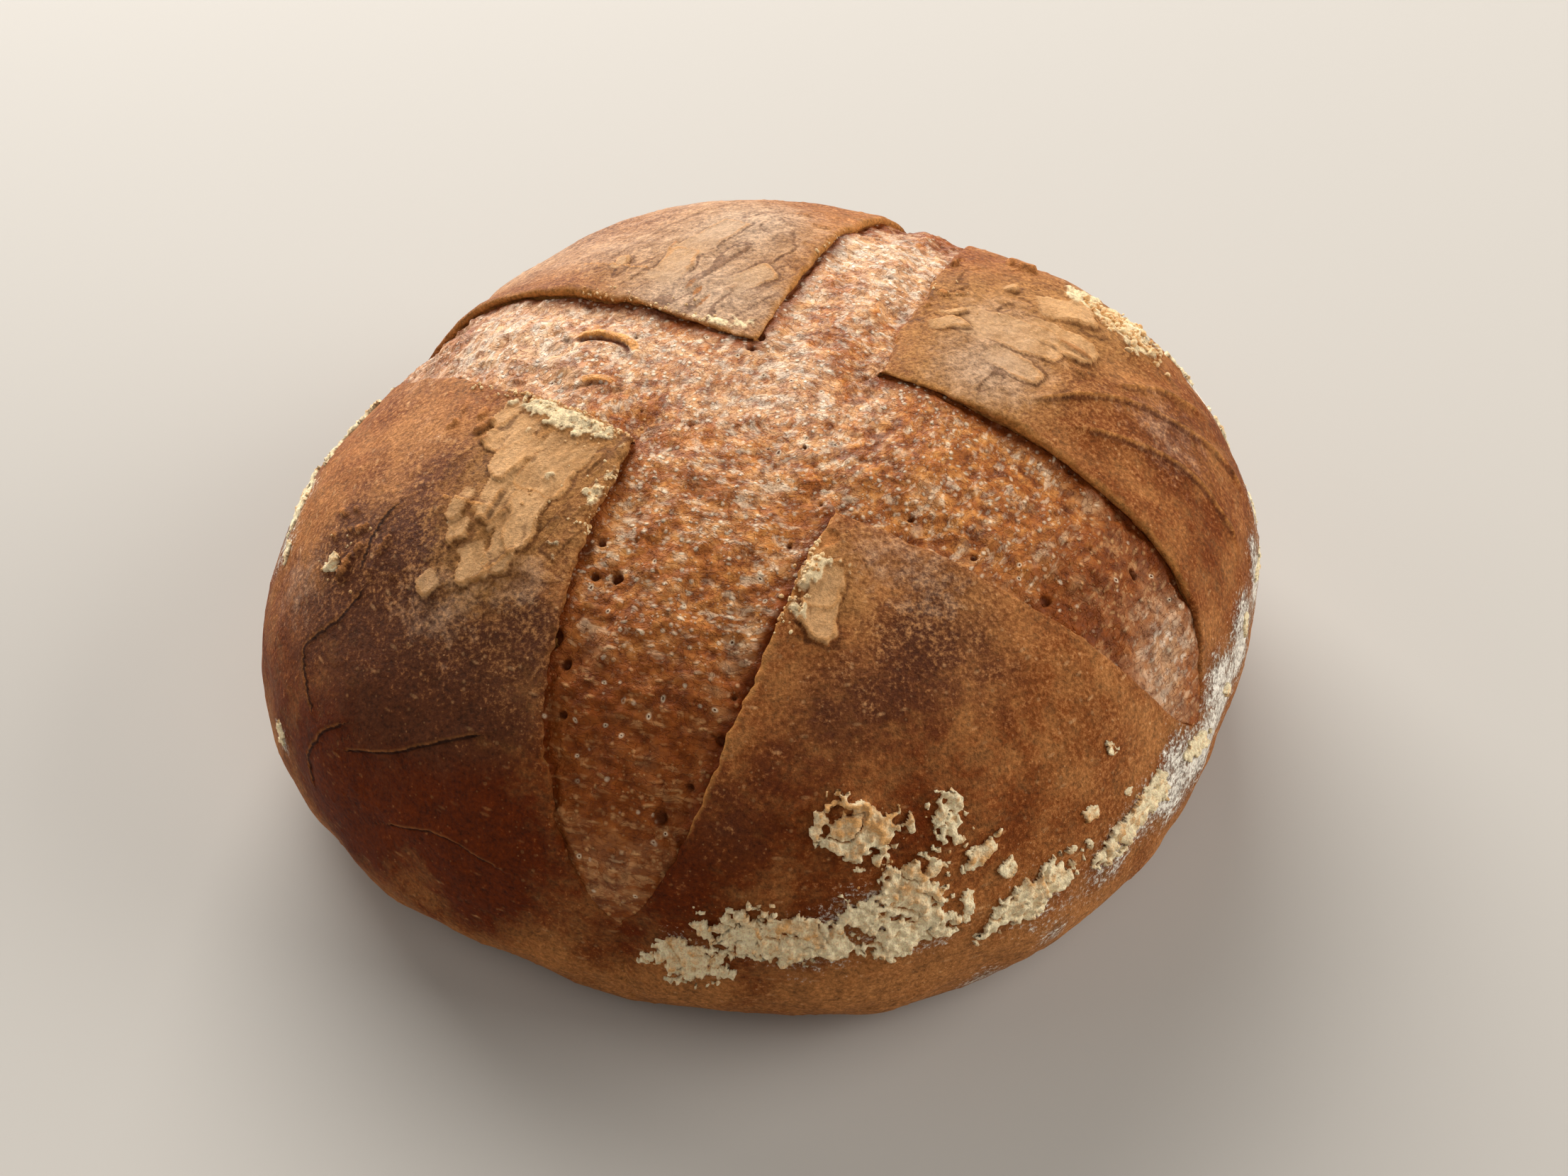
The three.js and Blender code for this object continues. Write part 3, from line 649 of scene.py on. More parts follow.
class Dome:
    """The smooth loaf: one profile carried round an uneven rim, its rings closing on the cross."""

    samples = 400
    slope_step = 0.5

    def __init__(self, form):
        self.radius = form.widest_radius / MM
        self.height = form.dome_height / MM
        self.level = form.widest_level / MM
        self.power = form.dome_power
        self.foot_ratio = form.foot_ratio
        self.middle = (form.middle_x / MM, form.middle_y / MM)
        self.arm_depth = form.arm_depth / MM
        self.lip_roll = form.lip_roll / MM
        self.shares, self.heights, self.reaches = self.profile()
        self.widest_reach = self.reaches[self.samples]
        self.foot_reach = self.reaches[2 * self.samples]
        self.axis = self.place_in_frame()

    def profile(self):
        """Radius share, height and reach from the top, over the flank, to the foot's middle."""
        turn = np.linspace(0, np.pi / 2, self.samples + 1)
        size = (np.sin(turn) ** self.power + np.cos(turn) ** self.power) ** (-1 / self.power)
        rise = np.cos(turn) * size
        rise[-1] = 0
        flank = turn[1:]
        foot = np.linspace(self.foot_ratio, 0, self.samples + 1)[1:]
        shares = np.concatenate((np.sin(turn) * size, mix(self.foot_ratio, 1, np.cos(flank)), foot))
        heights = np.concatenate(
            (mix(self.level, self.height, rise), self.level * (1 - np.sin(flank)), foot * 0)
        )
        steps = np.hypot(np.diff(shares) * self.radius, np.diff(heights))
        return shares, heights, np.concatenate(([0], np.cumsum(steps)))

    def rim_radius(self, heading):
        """Radius of the widest outline at a heading."""
        waves = [w.share * np.cos(np.radians(w.count * (heading - w.peak))) for w in RIM_WAVES]
        return self.radius * (1 + sum(waves))

    def plan_radius(self, reach):
        """Mean distance from the axis at a reach."""
        return np.interp(reach, self.reaches, self.shares) * self.radius

    def height_above(self, x, y):
        """Height of the dome above a point of the plan."""
        share = np.hypot(x, y) / self.rim_radius(np.degrees(np.arctan2(y, x)))
        rise = np.maximum(0, 1 - share**self.power) ** (1 / self.power)
        return mix(self.level, self.height, rise)

    def point(self, heading, reach):
        """Points of the smooth loaf."""
        share = np.interp(reach, self.reaches, self.shares)
        low = np.interp(reach, self.reaches, self.heights)
        rim = self.rim_radius(heading)
        rim_x = rim * np.cos(np.radians(heading))
        rim_y = rim * np.sin(np.radians(heading))
        on_top = reach < self.widest_reach
        x = np.where(on_top, mix(self.middle[0], rim_x, share), rim_x * share)
        y = np.where(on_top, mix(self.middle[1], rim_y, share), rim_y * share)
        z = np.where(on_top, self.height_above(x, y), low)
        return np.stack((x, y, z), axis=1)

    def outward(self, heading, reach):
        """Outward directions of the smooth loaf."""
        margin = 4 * self.slope_step
        start = np.clip(reach, margin, self.reaches[-1] - margin)
        step = self.slope_step
        round_ = self.point(heading + step, start) - self.point(heading - step, start)
        down = self.point(heading, start + step) - self.point(heading, start - step)
        out = np.cross(down, round_)
        return out / np.linalg.norm(out, axis=1, keepdims=True)

    def place_in_frame(self):
        """Where the dome's axis stands in the frame, found from the solid loaf's flat foot."""
        corners = np.array([vertex.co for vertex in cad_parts[NODE].data.vertices]) / MM
        foot = corners[corners[:, 2] < 0.05]
        angles = np.arange(0.0, 360.0, 0.25)
        outline = self.point(angles, np.full(len(angles), self.foot_reach))
        middles = [(side.min(0) + side.max(0))[:2] / 2 for side in (foot, outline)]
        return middles[0] - middles[1]


# ---------------------------------------------------------------------------------------------
# The cross


def wrapped(angle):
    """An angle from -180 to 180."""
    return (angle + 180) % 360 - 180


def arm_line(arm, reach):
    """Heading of an arm's middle line, and half its width, at a reach."""
    middle = arm.heading + arm.bend * (reach - BEND_START) / BEND_LENGTH
    closing = np.maximum(0, 1 - (reach / arm.end) ** 4) ** 0.75
    return middle, arm.half_width * closing


def arm_fade(arm, reach):
    """0 where an arm has its full depth, 1 past its end."""
    return ramp(reach, arm.end - ARM_FADE, arm.end)


def cross_at(dome, heading, reach, points):
    """How each point lies in the cross.

    distance is from the nearest edge, above 0 on the petals and below 0 on the arms. inward is
    the level direction from that edge into its petal. The rest describe the edge and the petal.
    """
    radius = dome.plan_radius(reach)
    names = ("lip", "sharp", "ragged", "crown", "fade", "inward_x", "inward_y")
    found = {name: np.zeros(len(reach)) for name in names}
    found["distance"] = np.full(len(reach), -1e3)
    for index, petal in enumerate(PETALS):
        sides = []
        for arm, edge, turn in (
            (ARMS[index], petal.first, 1),
            (ARMS[(index + 1) % len(ARMS)], petal.last, -1),
        ):
            middle, half = arm_line(arm, reach)
            angle = turn * wrapped(heading - middle)
            sides.append((radius * np.sin(np.radians(angle)) - half, middle, arm, edge, turn))
        for side, other in (sides, sides[::-1]):
            distance, middle, arm, edge, turn = side
            best = (distance <= other[0]) & (distance > found["distance"])
            found["distance"] = np.where(best, distance, found["distance"])
            values = {
                "lip": edge.lip,
                "sharp": edge.sharp,
                "ragged": edge.ragged,
                "crown": petal.crown,
                "fade": arm_fade(arm, reach),
                "inward_x": -turn * np.sin(np.radians(middle)),
                "inward_y": turn * np.cos(np.radians(middle)),
            }
            for name, value in values.items():
                found[name] = np.where(best, value, found[name])
    wander = bumps(points, *CUT_WANDER)
    found["distance"] += found["ragged"] * wander * (1 - 0.5 * found["fade"])
    return found


def sector_edges(dome, index, reach, margin):
    """Headings where a petal's columns begin and end, the margin out over the arms."""
    headings = []
    for arm, turn in ((ARMS[index], 1), (ARMS[(index + 1) % len(ARMS)], -1)):
        middle, half = arm_line(arm, reach)
        opening = np.clip((half - margin) / max(dome.plan_radius(reach), 1), 0, 1)
        headings.append(middle + turn * math.degrees(math.asin(opening)))
    first = headings[0]
    last = headings[1] + (360 if index == len(ARMS) - 1 else 0)
    half = max(last - first, NARROWEST_PETAL) / 2
    middle = (first + last) / 2
    return middle - half, middle + half


def petal_columns():
    """Shares across a petal at which its columns lie, closer together at its edges."""
    even = np.arange(PETAL_COLUMNS) / PETAL_COLUMNS
    shares = even - COLUMN_HUG * np.sin(2 * np.pi * even) / (2 * np.pi)
    return np.append(shares, 1)


def skin_columns(dome, reach):
    """Headings of a ring's columns, dense in the arms and even past their ends."""
    under_petal, over_arm = SKIN_COLUMNS
    arm_half = 180 * over_arm / (len(ARMS) * (under_petal + over_arm))
    headings = []
    for index, arm in enumerate(ARMS):
        following = (index + 1) % len(ARMS)
        whole_turn = 360 if following == 0 else 0
        first, last = sector_edges(dome, index, reach, -SKIN_TUCK)
        next_first = sector_edges(dome, following, reach, -SKIN_TUCK)[0] + whole_turn
        next_heading = ARMS[following].heading + whole_turn
        relax = ramp(reach, arm.end - EVEN_COLUMNS[0], arm.end + EVEN_COLUMNS[1])
        first = mix(first, arm.heading + arm_half, relax)
        last = mix(last, next_heading - arm_half, relax)
        next_first = mix(next_first, next_heading + arm_half, relax)
        headings.append(mix(first, last, np.arange(under_petal) / under_petal))
        headings.append(mix(last, next_first, np.arange(over_arm) / over_arm))
    return np.concatenate(headings)


# ---------------------------------------------------------------------------------------------
# Relief


def local_offsets(dome, points, heading, reach):
    """How far points lie along and above a place on the crust, level and upslope."""
    at = (np.array([float(heading)]), np.array([float(reach)]))
    middle = dome.point(*at)[0]
    out = dome.outward(*at)[0]
    along = np.cross((0, 0, 1), out)
    along /= np.linalg.norm(along)
    offset = points - middle
    return offset @ along, offset @ np.cross(out, along), np.linalg.norm(offset, axis=1)


def lump_share(dome, points, lump, ragged):
    """1 on a lump's top and 0 off it, with a steep, ragged side."""
    along, above, _ = local_offsets(dome, points, lump.heading, lump.reach)
    turn = math.radians(lump.turn)
    on_length = (along * math.cos(turn) + above * math.sin(turn)) / (lump.length / 2)
    on_width = (above * math.cos(turn) - along * math.sin(turn)) / (lump.width / 2)
    return 1 - ramp(np.hypot(on_length, on_width) + ragged, 0.75, 1.1)


def from_sheet_edge(dome, points, sheet, ragged):
    """How far inside a smeared sheet points lie, and how near its torn end, from 0 to 1.

    The sheet is a blunt strip. It thickens from its upper end, where it was spread thin, to the
    lower one, where it tore off.
    """
    along, above, _ = local_offsets(dome, points, sheet.heading, sheet.reach)
    turn = math.radians(sheet.turn)
    lengthways = along * math.cos(turn) + above * math.sin(turn)
    sideways = above * math.cos(turn) - along * math.sin(turn)
    from_end = sheet.length / 2 - np.abs(lengthways)
    from_side = sheet.width / 2 - np.abs(sideways)
    inside = -np.logaddexp(-from_end, -from_side)
    downward = math.copysign(2 / sheet.length, -sheet.turn)
    return inside + ragged, ramp(downward * lengthways, -1.0, 0.6)


def sheet_relief(dome, points, ragged):
    """Height of the smeared sheets, where they lie, a painted highlight on their torn rims, and a
    painted shadow at the foot of those.
    """
    height, covered, rim, foot = np.zeros((4, len(points)))
    for sheet in SHEETS:
        inside, torn = from_sheet_edge(dome, points, sheet, ragged)
        near_rim = np.exp(-(((inside - RIM_INSET) / RIM_WIDTH) ** 2)) * torn
        on_sheet = ramp(inside, 0, SHEET_SIDE)
        risen = on_sheet * (sheet.thick * torn + RIM_RISE * near_rim)
        on_top = risen > height
        height = np.maximum(height, risen)
        covered = np.maximum(covered, on_sheet * ramp(torn, 0, 0.4))
        # The topmost sheet's rim gets a painted highlight, and just past a torn end lies a painted shadow
        rim = np.where(on_top, near_rim, rim)
        near = ramp(inside, -0.9, -0.2) * (1 - ramp(inside, 0.0, 0.3)) * torn
        foot = np.where(on_top, 0, np.maximum(foot, near))
    return height, covered, rim, foot


def torn_layers(points):
    """Thin layers that each thicken toward the side where they tore off: height, and that side,
    where a painted shadow is laid.
    """
    depth = bumps(points, *LAYER_DEPTH)
    share = depth - np.floor(depth)
    return share * (1 - ramp(share, 0.85, 1.0)), ramp(share, 0.8, 0.95)


def patches(dome, points, spots):
    """How strongly a set of broad spots covers each point, from 0 to 1."""
    clear = np.ones(len(points))
    for spot in spots:
        distance = local_offsets(dome, points, spot.heading, spot.reach)[2]
        clear *= 1 - spot.amount * np.exp(-((distance / spot.spread) ** 2))
    return 1 - clear


def line_points(dome, line):
    """Points along a smooth line through a few headings and reaches."""
    knots = np.array(line, float)
    fine = np.linspace(0, len(knots) - 1, LINE_STEPS * (len(knots) - 1) + 1)
    straight = [np.interp(fine, np.arange(len(knots)), side) for side in knots.T]
    weights = np.hanning(LINE_STEPS + 3)[1:-1]
    weights /= weights.sum()
    half = LINE_STEPS // 2
    rounded = [np.convolve(np.pad(side, half, "edge"), weights, "valid") for side in straight]
    return dome.point(*rounded)


def beside_line(points, line):
    """Distance of each point from a line, and on which side it lies, in the plan."""
    nearest = np.full(len(points), 1e3)
    side = np.ones(len(points))
    close = np.flatnonzero(np.linalg.norm(points - line.mean(0), axis=1) < np.ptp(line, 0).max() + 12)
    for start, end in zip(line[:-1], line[1:]):
        span = end - start
        offset = points[close] - start
        share = np.clip(offset @ span / (span @ span), 0, 1)
        away = offset - share[:, None] * span
        distance = np.linalg.norm(away, axis=1)
        closer = distance < nearest[close]
        cross = span[0] * away[:, 1] - span[1] * away[:, 0]
        nearest[close] = np.where(closer, distance, nearest[close])
        side[close] = np.where(closer, np.sign(cross), side[close])
    return nearest, side


def line_relief(dome, points):
    """Height of the fine lines of the crust, a painted highlight on their crests, a painted shadow
    at their feet, and the distance from a crack.

    That distance is above 0 on the crack's proud side.
    """
    height, crest_highlight, foot = np.zeros((3, len(points)))
    from_crack = np.full(len(points), FAR)
    rough = bumps(points, LINE_FRAY)
    for line in CRACKS:
        distance, side = beside_line(points, line_points(dome, line))
        distance = distance * side + rough
        height += CRACK_RISE * np.exp(-np.abs(distance) / CRACK_SLOPE) * (distance > 0)
        height -= CRACK_DEPTH * np.exp(-((distance / CRACK_WIDTH) ** 2))
        from_crack = np.where(np.abs(distance) < np.abs(from_crack), distance, from_crack)
    for lines, rise, slope, high_side in LINE_STEEPS:
        for line in lines:
            distance, side = beside_line(points, line_points(dome, line))
            height += rise * np.exp(-distance / slope) * (side == high_side)
            # Painted highlight on the crest of the high side, painted shadow at the foot of the low side
            crest_highlight = np.maximum(crest_highlight, (1 - ramp(distance, *CREST_HIGHLIGHT_WIDTH)) * (side == high_side))
            foot = np.maximum(foot, (1 - ramp(distance, *LINE_FOOT_SHADOW_WIDTH)) * (side == -high_side))
    for line in CURLS:
        distance, side = beside_line(points, line_points(dome, line))
        height += CURL_RISE * (1 - ramp(np.abs(distance * side + rough), *CURL_WIDTH))
    return height, crest_highlight, foot, from_crack


def shared_swells(dome, points, reach):
    """The broad unevenness that crust and skin share."""
    wrinkled = ramp(reach, dome.widest_reach - WRINKLES_FADE_IN, dome.widest_reach)
    return bumps(points, *SWELLS) + wrinkled * bumps(points, FLANK_WRINKLES)


def above_foot(dome, reach):
    """1 over the loaf, fading to 0 at the flat foot."""
    return 1 - ramp(reach, *(dome.foot_reach - before for before in FOOT_FADE))


def smeared_places(points):
    """Points shrunk along the way the crust was smeared, so that patterns read there are drawn out."""
    turn = math.radians(SMEAR_HEADING)
    along = points[:, 0] * math.cos(turn) + points[:, 1] * math.sin(turn)
    across = points[:, 1] * math.cos(turn) - points[:, 0] * math.sin(turn)
    return np.stack((along / SMEAR_STRETCH, across, points[:, 2]), axis=1)


def stretched_places(heading, reach):
    """Places for patterns that the growing loaf drew out along its rings, in metres."""
    turn = np.radians(heading)
    level = np.minimum(reach, DRAWN_OUT)
    return np.stack((level * np.cos(turn), level * np.sin(turn), reach), axis=1) * MM


def crust_surface(dome, heading, reach):
    """Points of the browned crust, sunk out of sight in the arms, and what marks its finish."""
    smooth = dome.point(heading, reach)
    cross = cross_at(dome, heading, reach, smooth)
    distance = cross["distance"]
    inside = np.maximum(distance, 0)

    raised = (cross["lip"] - dome.arm_depth) * np.exp(-inside / dome.lip_roll) * (1 - cross["fade"])
    crown = cross["crown"] * ramp(inside, 0, CROWN_RISE) * (1 - ramp(reach, *CROWN_FADE))
    rolled = np.maximum(raised, -LIP_SAG) + crown

    section = np.array(LIP_SECTION)
    sharp = cross["sharp"] * (1 - cross["fade"])
    lies_at = mix(distance, np.interp(distance, section[:, 0], section[:, 1]), sharp)
    steep_drop = np.interp(distance, section[:, 0], section[:, 2])
    soft_drop = -HIDDEN_DEPTH * (1 - ramp(distance, -3.0, 0.8))
    dropped = mix(soft_drop, steep_drop, sharp)
    on_section = (distance > section[0, 0]) & (distance < section[-1, 0])
    shift = np.where(on_section, lies_at - distance, 0)
    shift = np.where(shift < 0, shift * (0.75 + bumps(smooth, LIP_FRAY)), shift)

    on_petal = ramp(distance, 0, 2)
    smeared = smeared_places(smooth)
    peel = patches(dome, smooth, PEELED)
    grain = bumps(smooth, *CRUST_GRAIN)
    near, number = nearest_cell(smooth, PIMPLES)
    pimples = PIMPLES.height * (number > 0.55) * (1 - ramp(near, 0.05, 0.26 + 0.1 * number))
    ragged = bumps(smooth, LUMP_FRAY)
    torn_side = bumps(smeared, SHEET_TEAR) + bumps(smooth, SHEET_FRAY)
    sheets, on_sheet, rim, foot = sheet_relief(dome, smooth, torn_side)
    thin_layers, torn_side_shadow = torn_layers(smeared)
    bare = peel * (1 - on_sheet)
    layers = sheets + LAYER_THICKNESS * bare * thin_layers
    # Painted shadow along the torn sides of thin layers, as well as past the torn ends of sheets
    foot = np.maximum(foot, bare * torn_side_shadow)
    craggy = bumps(smooth, *CRUMBLED_CRAGS)
    crumbled = ramp(patches(dome, smooth, CRUMBLED) + 0.55 * craggy, 0.5, 0.85)
    lumps = sum(lump.thick * lump_share(dome, smooth, lump, ragged) for lump in CRUST_LUMPS)
    lines, crest_highlight, line_foot_shadow, from_crack = line_relief(dome, smooth)
    # Painted highlight on the torn rims of sheets and the crests of lines, and painted shadow at their
    # feet
    rim = np.maximum(rim, crest_highlight)
    foot = np.maximum(foot, line_foot_shadow)
    streaks = bumps(smeared, SHEET_STREAKS)
    fine = grain * (1 + 0.6 * peel) + pimples * (1 - on_sheet) + lumps + lines
    fine += layers + on_sheet * streaks + crumbled * (0.5 + 1.0 * craggy)
    out = rolled + dropped + shared_swells(dome, smooth, reach) + on_petal * fine
    out *= above_foot(dome, reach)

    points = smooth + dome.outward(heading, reach) * out[:, None]
    points[:, 0] += shift * cross["inward_x"]
    points[:, 1] += shift * cross["inward_y"]
    points[:, 2] = np.maximum(points[:, 2], 0)

    marks = {
        "scorched": patches(dome, smooth, SCORCHED),
        "umber": patches(dome, smooth, UMBER),
        "peel": peel,
        "sheet": on_sheet,
        "layers": layers,
        # Painted highlight on rims and crests, and painted shadow at feet
        "rim": rim,
        "foot": foot,
        "crumbled": crumbled * on_petal,
        # Dry, pale crust, partly a painted sheen on the upper and back faces
        "chalky_and_sheen": patches(dome, smooth, CHALKY_AND_SHEEN),
        "dusted": patches(dome, smooth, DUSTED),
        "from_edge": mix(np.clip(distance, -FAR, FAR), FAR, 1 - sharp),
        "from_crack": from_crack,
        "nub": np.clip(np.abs(lumps), 0, 1) * on_petal,
        "flank": ramp(reach, *FLANK_REACHES),
        "drawn_out": stretched_places(heading, reach),
    }
    return points, marks


def petal_surface(dome, heading, reach):
    """Points of a petal, which dips into the body of the loaf past the ends of the arms."""
    points, marks = crust_surface(dome, heading, reach)
    lift = mix(PETAL_LIFT, -PETAL_DIP, ramp(reach, *PETAL_END))
    return points + dome.outward(heading, reach) * lift[:, None], marks


def body_surface(dome, heading, reach):
    """Points of the crust's flanks and foot, sunk out of sight under the petals and the arms."""
    points, marks = crust_surface(dome, heading, reach)
    sunk = dome.point(heading, reach) - HIDDEN_DEPTH * dome.outward(heading, reach)
    return mix(sunk, points, ramp(reach, *BODY_START)[:, None]), marks


def blister_relief(dome, points):
    """Thin standing skins of broken bubbles, and the hollow in front of each one."""
    stands = np.zeros(len(points))
    hollow = np.zeros(len(points))
    for blister in BLISTERS:
        line = line_points(dome, blister.line)
        distance, side = beside_line(points, line)
        to_end = np.minimum(*(np.linalg.norm(points - end, axis=1) for end in (line[0], line[-1])))
        tall = ramp(to_end, 0, WALL_END)
        stands += blister.stands * tall * (1 - ramp(distance, *WALL_WIDTH))
        gap = ramp(distance, *HOLLOW_START) * (1 - ramp(distance, *HOLLOW_END)) * (side < 0)
        hollow = np.maximum(hollow, blister.hollow * tall * gap)
    return stands, hollow


def skin_relief(dome, heading, reach, points):
    """Fine relief of the swollen skin, and how hollow it is."""
    drawn = stretched_places(heading, reach) / MM
    wound = swirled(points, SKIN_SWIRL)
    creases = folded(swirled(drawn, CREASE_SWIRL), CREASES) * ramp(reach, *CREASED_REACHES)
    folds = folded(wound, FOLDS)
    fine_folds = folded(swirled(points, FINE_SWIRL), FINE_FOLDS)
    relief = bumps(points, *ARM_SWELLS) + CREASES.height * creases
    relief = relief + FOLDS.height * folds + FINE_FOLDS.height * fine_folds
    for bubbles, share in SMALL_BUBBLES:
        near, number = nearest_cell(wound, bubbles)
        relief = relief + bubbles.height * (number > share) * np.sqrt(1 - ramp(near, 0, 0.42))
    near, number = nearest_cell(points, PINHOLES)
    hollow = PINHOLES.height * (number < 0.3) * (1 - ramp(near, 0.03, 0.1 + 0.1 * number))
    uneven = 1 + bumps(points, HOLE_FRAY)
    for hole in HOLES:
        away = local_offsets(dome, points, hole.heading, hole.reach)[2] * uneven
        inside = 1 - ramp(away, 0.5 * hole.radius, 1.05 * hole.radius)
        hollow = np.maximum(hollow, hole.depth * inside)
    stands, gap = blister_relief(dome, points)
    return relief + stands, np.maximum(hollow, gap), stands


def skin_surface(dome, heading, reach):
    """Points of the skin in the cross, sunk out of sight under the petals, and its marks."""
    smooth = dome.point(heading, reach)
    cross = cross_at(dome, heading, reach, smooth)
    distance = cross["distance"]
    open_share = 1 - cross["fade"]
    shown = 1 - ramp(distance, *SKIN_TUCKED)
    bulge = SKIN_BULGE * ramp(-distance, 0, BULGE_WIDTH)
    near_lip = np.exp(-((distance / CREVICE_WIDTH) ** 2))
    climb = SKIN_CLIMB * np.exp(-((distance / CLIMB_WIDTH) ** 2)) * cross["sharp"]
    crevice = CREVICE * near_lip * cross["sharp"] * ramp(bumps(smooth, CREVICE_GAPS), -0.3, 0.4)
    relief, hollow, stands = skin_relief(dome, heading, reach, smooth)
    away = np.clip(open_share + 0.25, 0, 1) * (1 - 0.35 * near_lip)
    out = (climb - crevice - dome.arm_depth * (1 - bulge)) * open_share
    out += shared_swells(dome, smooth, reach) + away * relief - hollow * open_share
    hidden = -HIDDEN_DEPTH + SKIN_HIDDEN_RISE + shared_swells(dome, smooth, reach)
    under = ramp(reach, *(min(arm.end for arm in ARMS) + step for step in SKIN_GOES_UNDER))
    out = mix(hidden, out, shown * (1 - under))
    out = np.where(distance > 0, np.minimum(out, mix(-0.3, -3, ramp(distance, 0, 2))), out)
    out *= above_foot(dome, reach)
    points = smooth + dome.outward(heading, reach) * out[:, None]
    points[:, 2] = np.maximum(points[:, 2], 1.0)
    marks = {
        "height": np.clip(0.5 + 0.5 * relief, 0, 1),
        # How hollow the skin is, for the painted shade in holes and hollows
        "hollow": np.clip(hollow / 1.2, 0, 1),
        # How near a lip the skin lies, for the painted shade under the lips
        "from_edge": mix(np.clip(distance, -FAR, FAR), -FAR, 1 - cross["sharp"] * open_share),
        "stands": stands,
        # Thin, pale skin, and on the back arms a painted sheen
        "pale": patches(dome, smooth, PALE_AND_SHEEN),
        "deep": ramp(reach, *DEEP_REACHES),
        "drawn_out": stretched_places(heading, reach),
    }
    return points, marks


def paste_surface(dome, heading, reach):
    """Points of the flour paste, sunk out of sight where there is none, and where it is."""
    points, _ = crust_surface(dome, heading, reach)
    smooth = dome.point(heading, reach)
    ragged = bumps(smooth, *PASTE_EDGE)
    thick = np.zeros(len(points))
    for lump in PASTE_LUMPS:
        thick = np.maximum(thick, lump.thick * lump_share(dome, smooth, lump, ragged))
    near, number = nearest_cell(swirled(smooth, CLOD_SWIRL), CLODS)
    clods = np.sqrt(1 - ramp(near, 0, 0.7)) * (0.5 + 0.5 * number)
    near, number = nearest_cell(smooth, GRIT)
    grit = np.sqrt(1 - ramp(near, 0, 0.55)) * number
    winding = unevenness(swirled(smooth, FISSURE_SWIRL), FISSURES.size, FISSURES.seed)
    fissures = 1 - ramp(np.abs(winding), 0.02, 0.07)
    craggy = 0.4 + CLODS.height * clods + GRIT.height * grit - FISSURES.height * fissures
    craggy += bumps(smooth, *PASTE_CRAGS)
    cover = ramp(thick, 0.35, 1.0)
    out = mix(-PASTE_SHELL, thick * craggy, cover)
    toasted = patches(dome, smooth, TOASTED)
    marks = {"cover": cover, "height": np.clip(craggy, 0, 1), "toasted": toasted}
    return points + dome.outward(heading, reach) * out[:, None], marks


# ---------------------------------------------------------------------------------------------
# Making meshes


def in_frame(dome, points):
    """Points about the dome's axis in millimetres, as points of the frame in metres.

    Whatever would stand out of the solid loaf's box is pressed back into it, softly over its last
    few millimetres.
    """
    placed = points.copy()
    placed[:, :2] += dome.axis
    for corner, way, depths in zip(CAD_BOUNDS, (-1, 1), (BOX_PRESS[:2], BOX_PRESS)):
        for axis, depth in enumerate(depths):
            start = way * corner[axis] / MM - BOX_MARGIN - depth
            over = np.maximum(way * placed[:, axis] - start, 0)
            placed[:, axis] -= way * (over - depth * (1 - np.exp(-over / depth)))
    return placed * MM


def deselect():
    """Leaves nothing selected, because an operator acts on all that is."""
    if bpy.context.object and bpy.context.object.mode != "OBJECT":
        bpy.ops.object.mode_set(mode="OBJECT")
    bpy.ops.object.select_all(action="DESELECT")


def select_only(piece):
    """Selects one piece, for the operators that follow."""
    deselect()
    piece.select_set(True)
    bpy.context.view_layer.objects.active = piece


def apply_modifier(piece, kind, **settings):
    """Adds a modifier to a piece and applies it."""
    select_only(piece)
    bpy.ops.object.modifier_add(type=kind)
    modifier = piece.modifiers[-1]
    for name, value in settings.items():
        setattr(modifier, name, value)
    bpy.ops.object.modifier_apply(modifier=modifier.name)


def thin_out(piece, most):
    """Collapses the flattest places until a piece has at most so many triangles."""
    triangles = sum(len(face.vertices) - 2 for face in piece.data.polygons)
    if triangles > most:
        apply_modifier(piece, "DECIMATE", ratio=most / triangles)


def drop_unmarked(piece, mark, least):
    """Deletes the parts of a piece whose mark is below the least."""
    values = np.empty(len(piece.data.vertices), np.float32)
    piece.data.attributes[mark].data.foreach_get("value", values)
    select_only(piece)
    bpy.ops.object.mode_set(mode="EDIT")
    bpy.ops.mesh.select_mode(type="VERT")
    bpy.ops.mesh.select_all(action="DESELECT")
    bpy.ops.object.mode_set(mode="OBJECT")
    piece.data.vertices.foreach_set("select", values < least)
    bpy.ops.object.mode_set(mode="EDIT")
    bpy.ops.mesh.delete(type="VERT")
    bpy.ops.object.mode_set(mode="OBJECT")


def joined(pieces):
    """One piece made of several."""
    deselect()
    for piece in pieces:
        piece.select_set(True)
    bpy.context.view_layer.objects.active = pieces[0]
    bpy.ops.object.join()
    return pieces[0]


def shaped_grid(name, dome, surface, headings, reaches):
    """A grid whose columns and rings are moved to a surface, with its marks as attributes.

    headings has a row for each ring, and reaches has one value for each ring.
    """
    rings, columns = headings.shape
    deselect()
    bpy.ops.mesh.primitive_grid_add(
        x_subdivisions=columns - 1, y_subdivisions=rings - 1, size=2, calc_uvs=False
    )
    grid = bpy.context.object
    grid.name = name
    grid.data.name = name

    places = np.empty(len(grid.data.vertices) * 3)
    grid.data.vertices.foreach_get("co", places)
    x, y, _ = places.reshape(-1, 3).T
    column = np.rint((x + 1) / 2 * (columns - 1)).astype(int)
    ring = np.rint((1 - y) / 2 * (rings - 1)).astype(int)
    points, marks = surface(dome, headings[ring, column], reaches[ring])
    grid.data.vertices.foreach_set("co", in_frame(dome, points).ravel())
    for mark, values in marks.items():
        values = np.asarray(values, np.float32)
        if values.ndim == 2:
            attribute = grid.data.attributes.new(mark, "FLOAT_VECTOR", "POINT")
            attribute.data.foreach_set("vector", values.ravel())
        else:
            attribute = grid.data.attributes.new(mark, "FLOAT", "POINT")
            attribute.data.foreach_set("value", values)
    grid.data.update()
    return grid


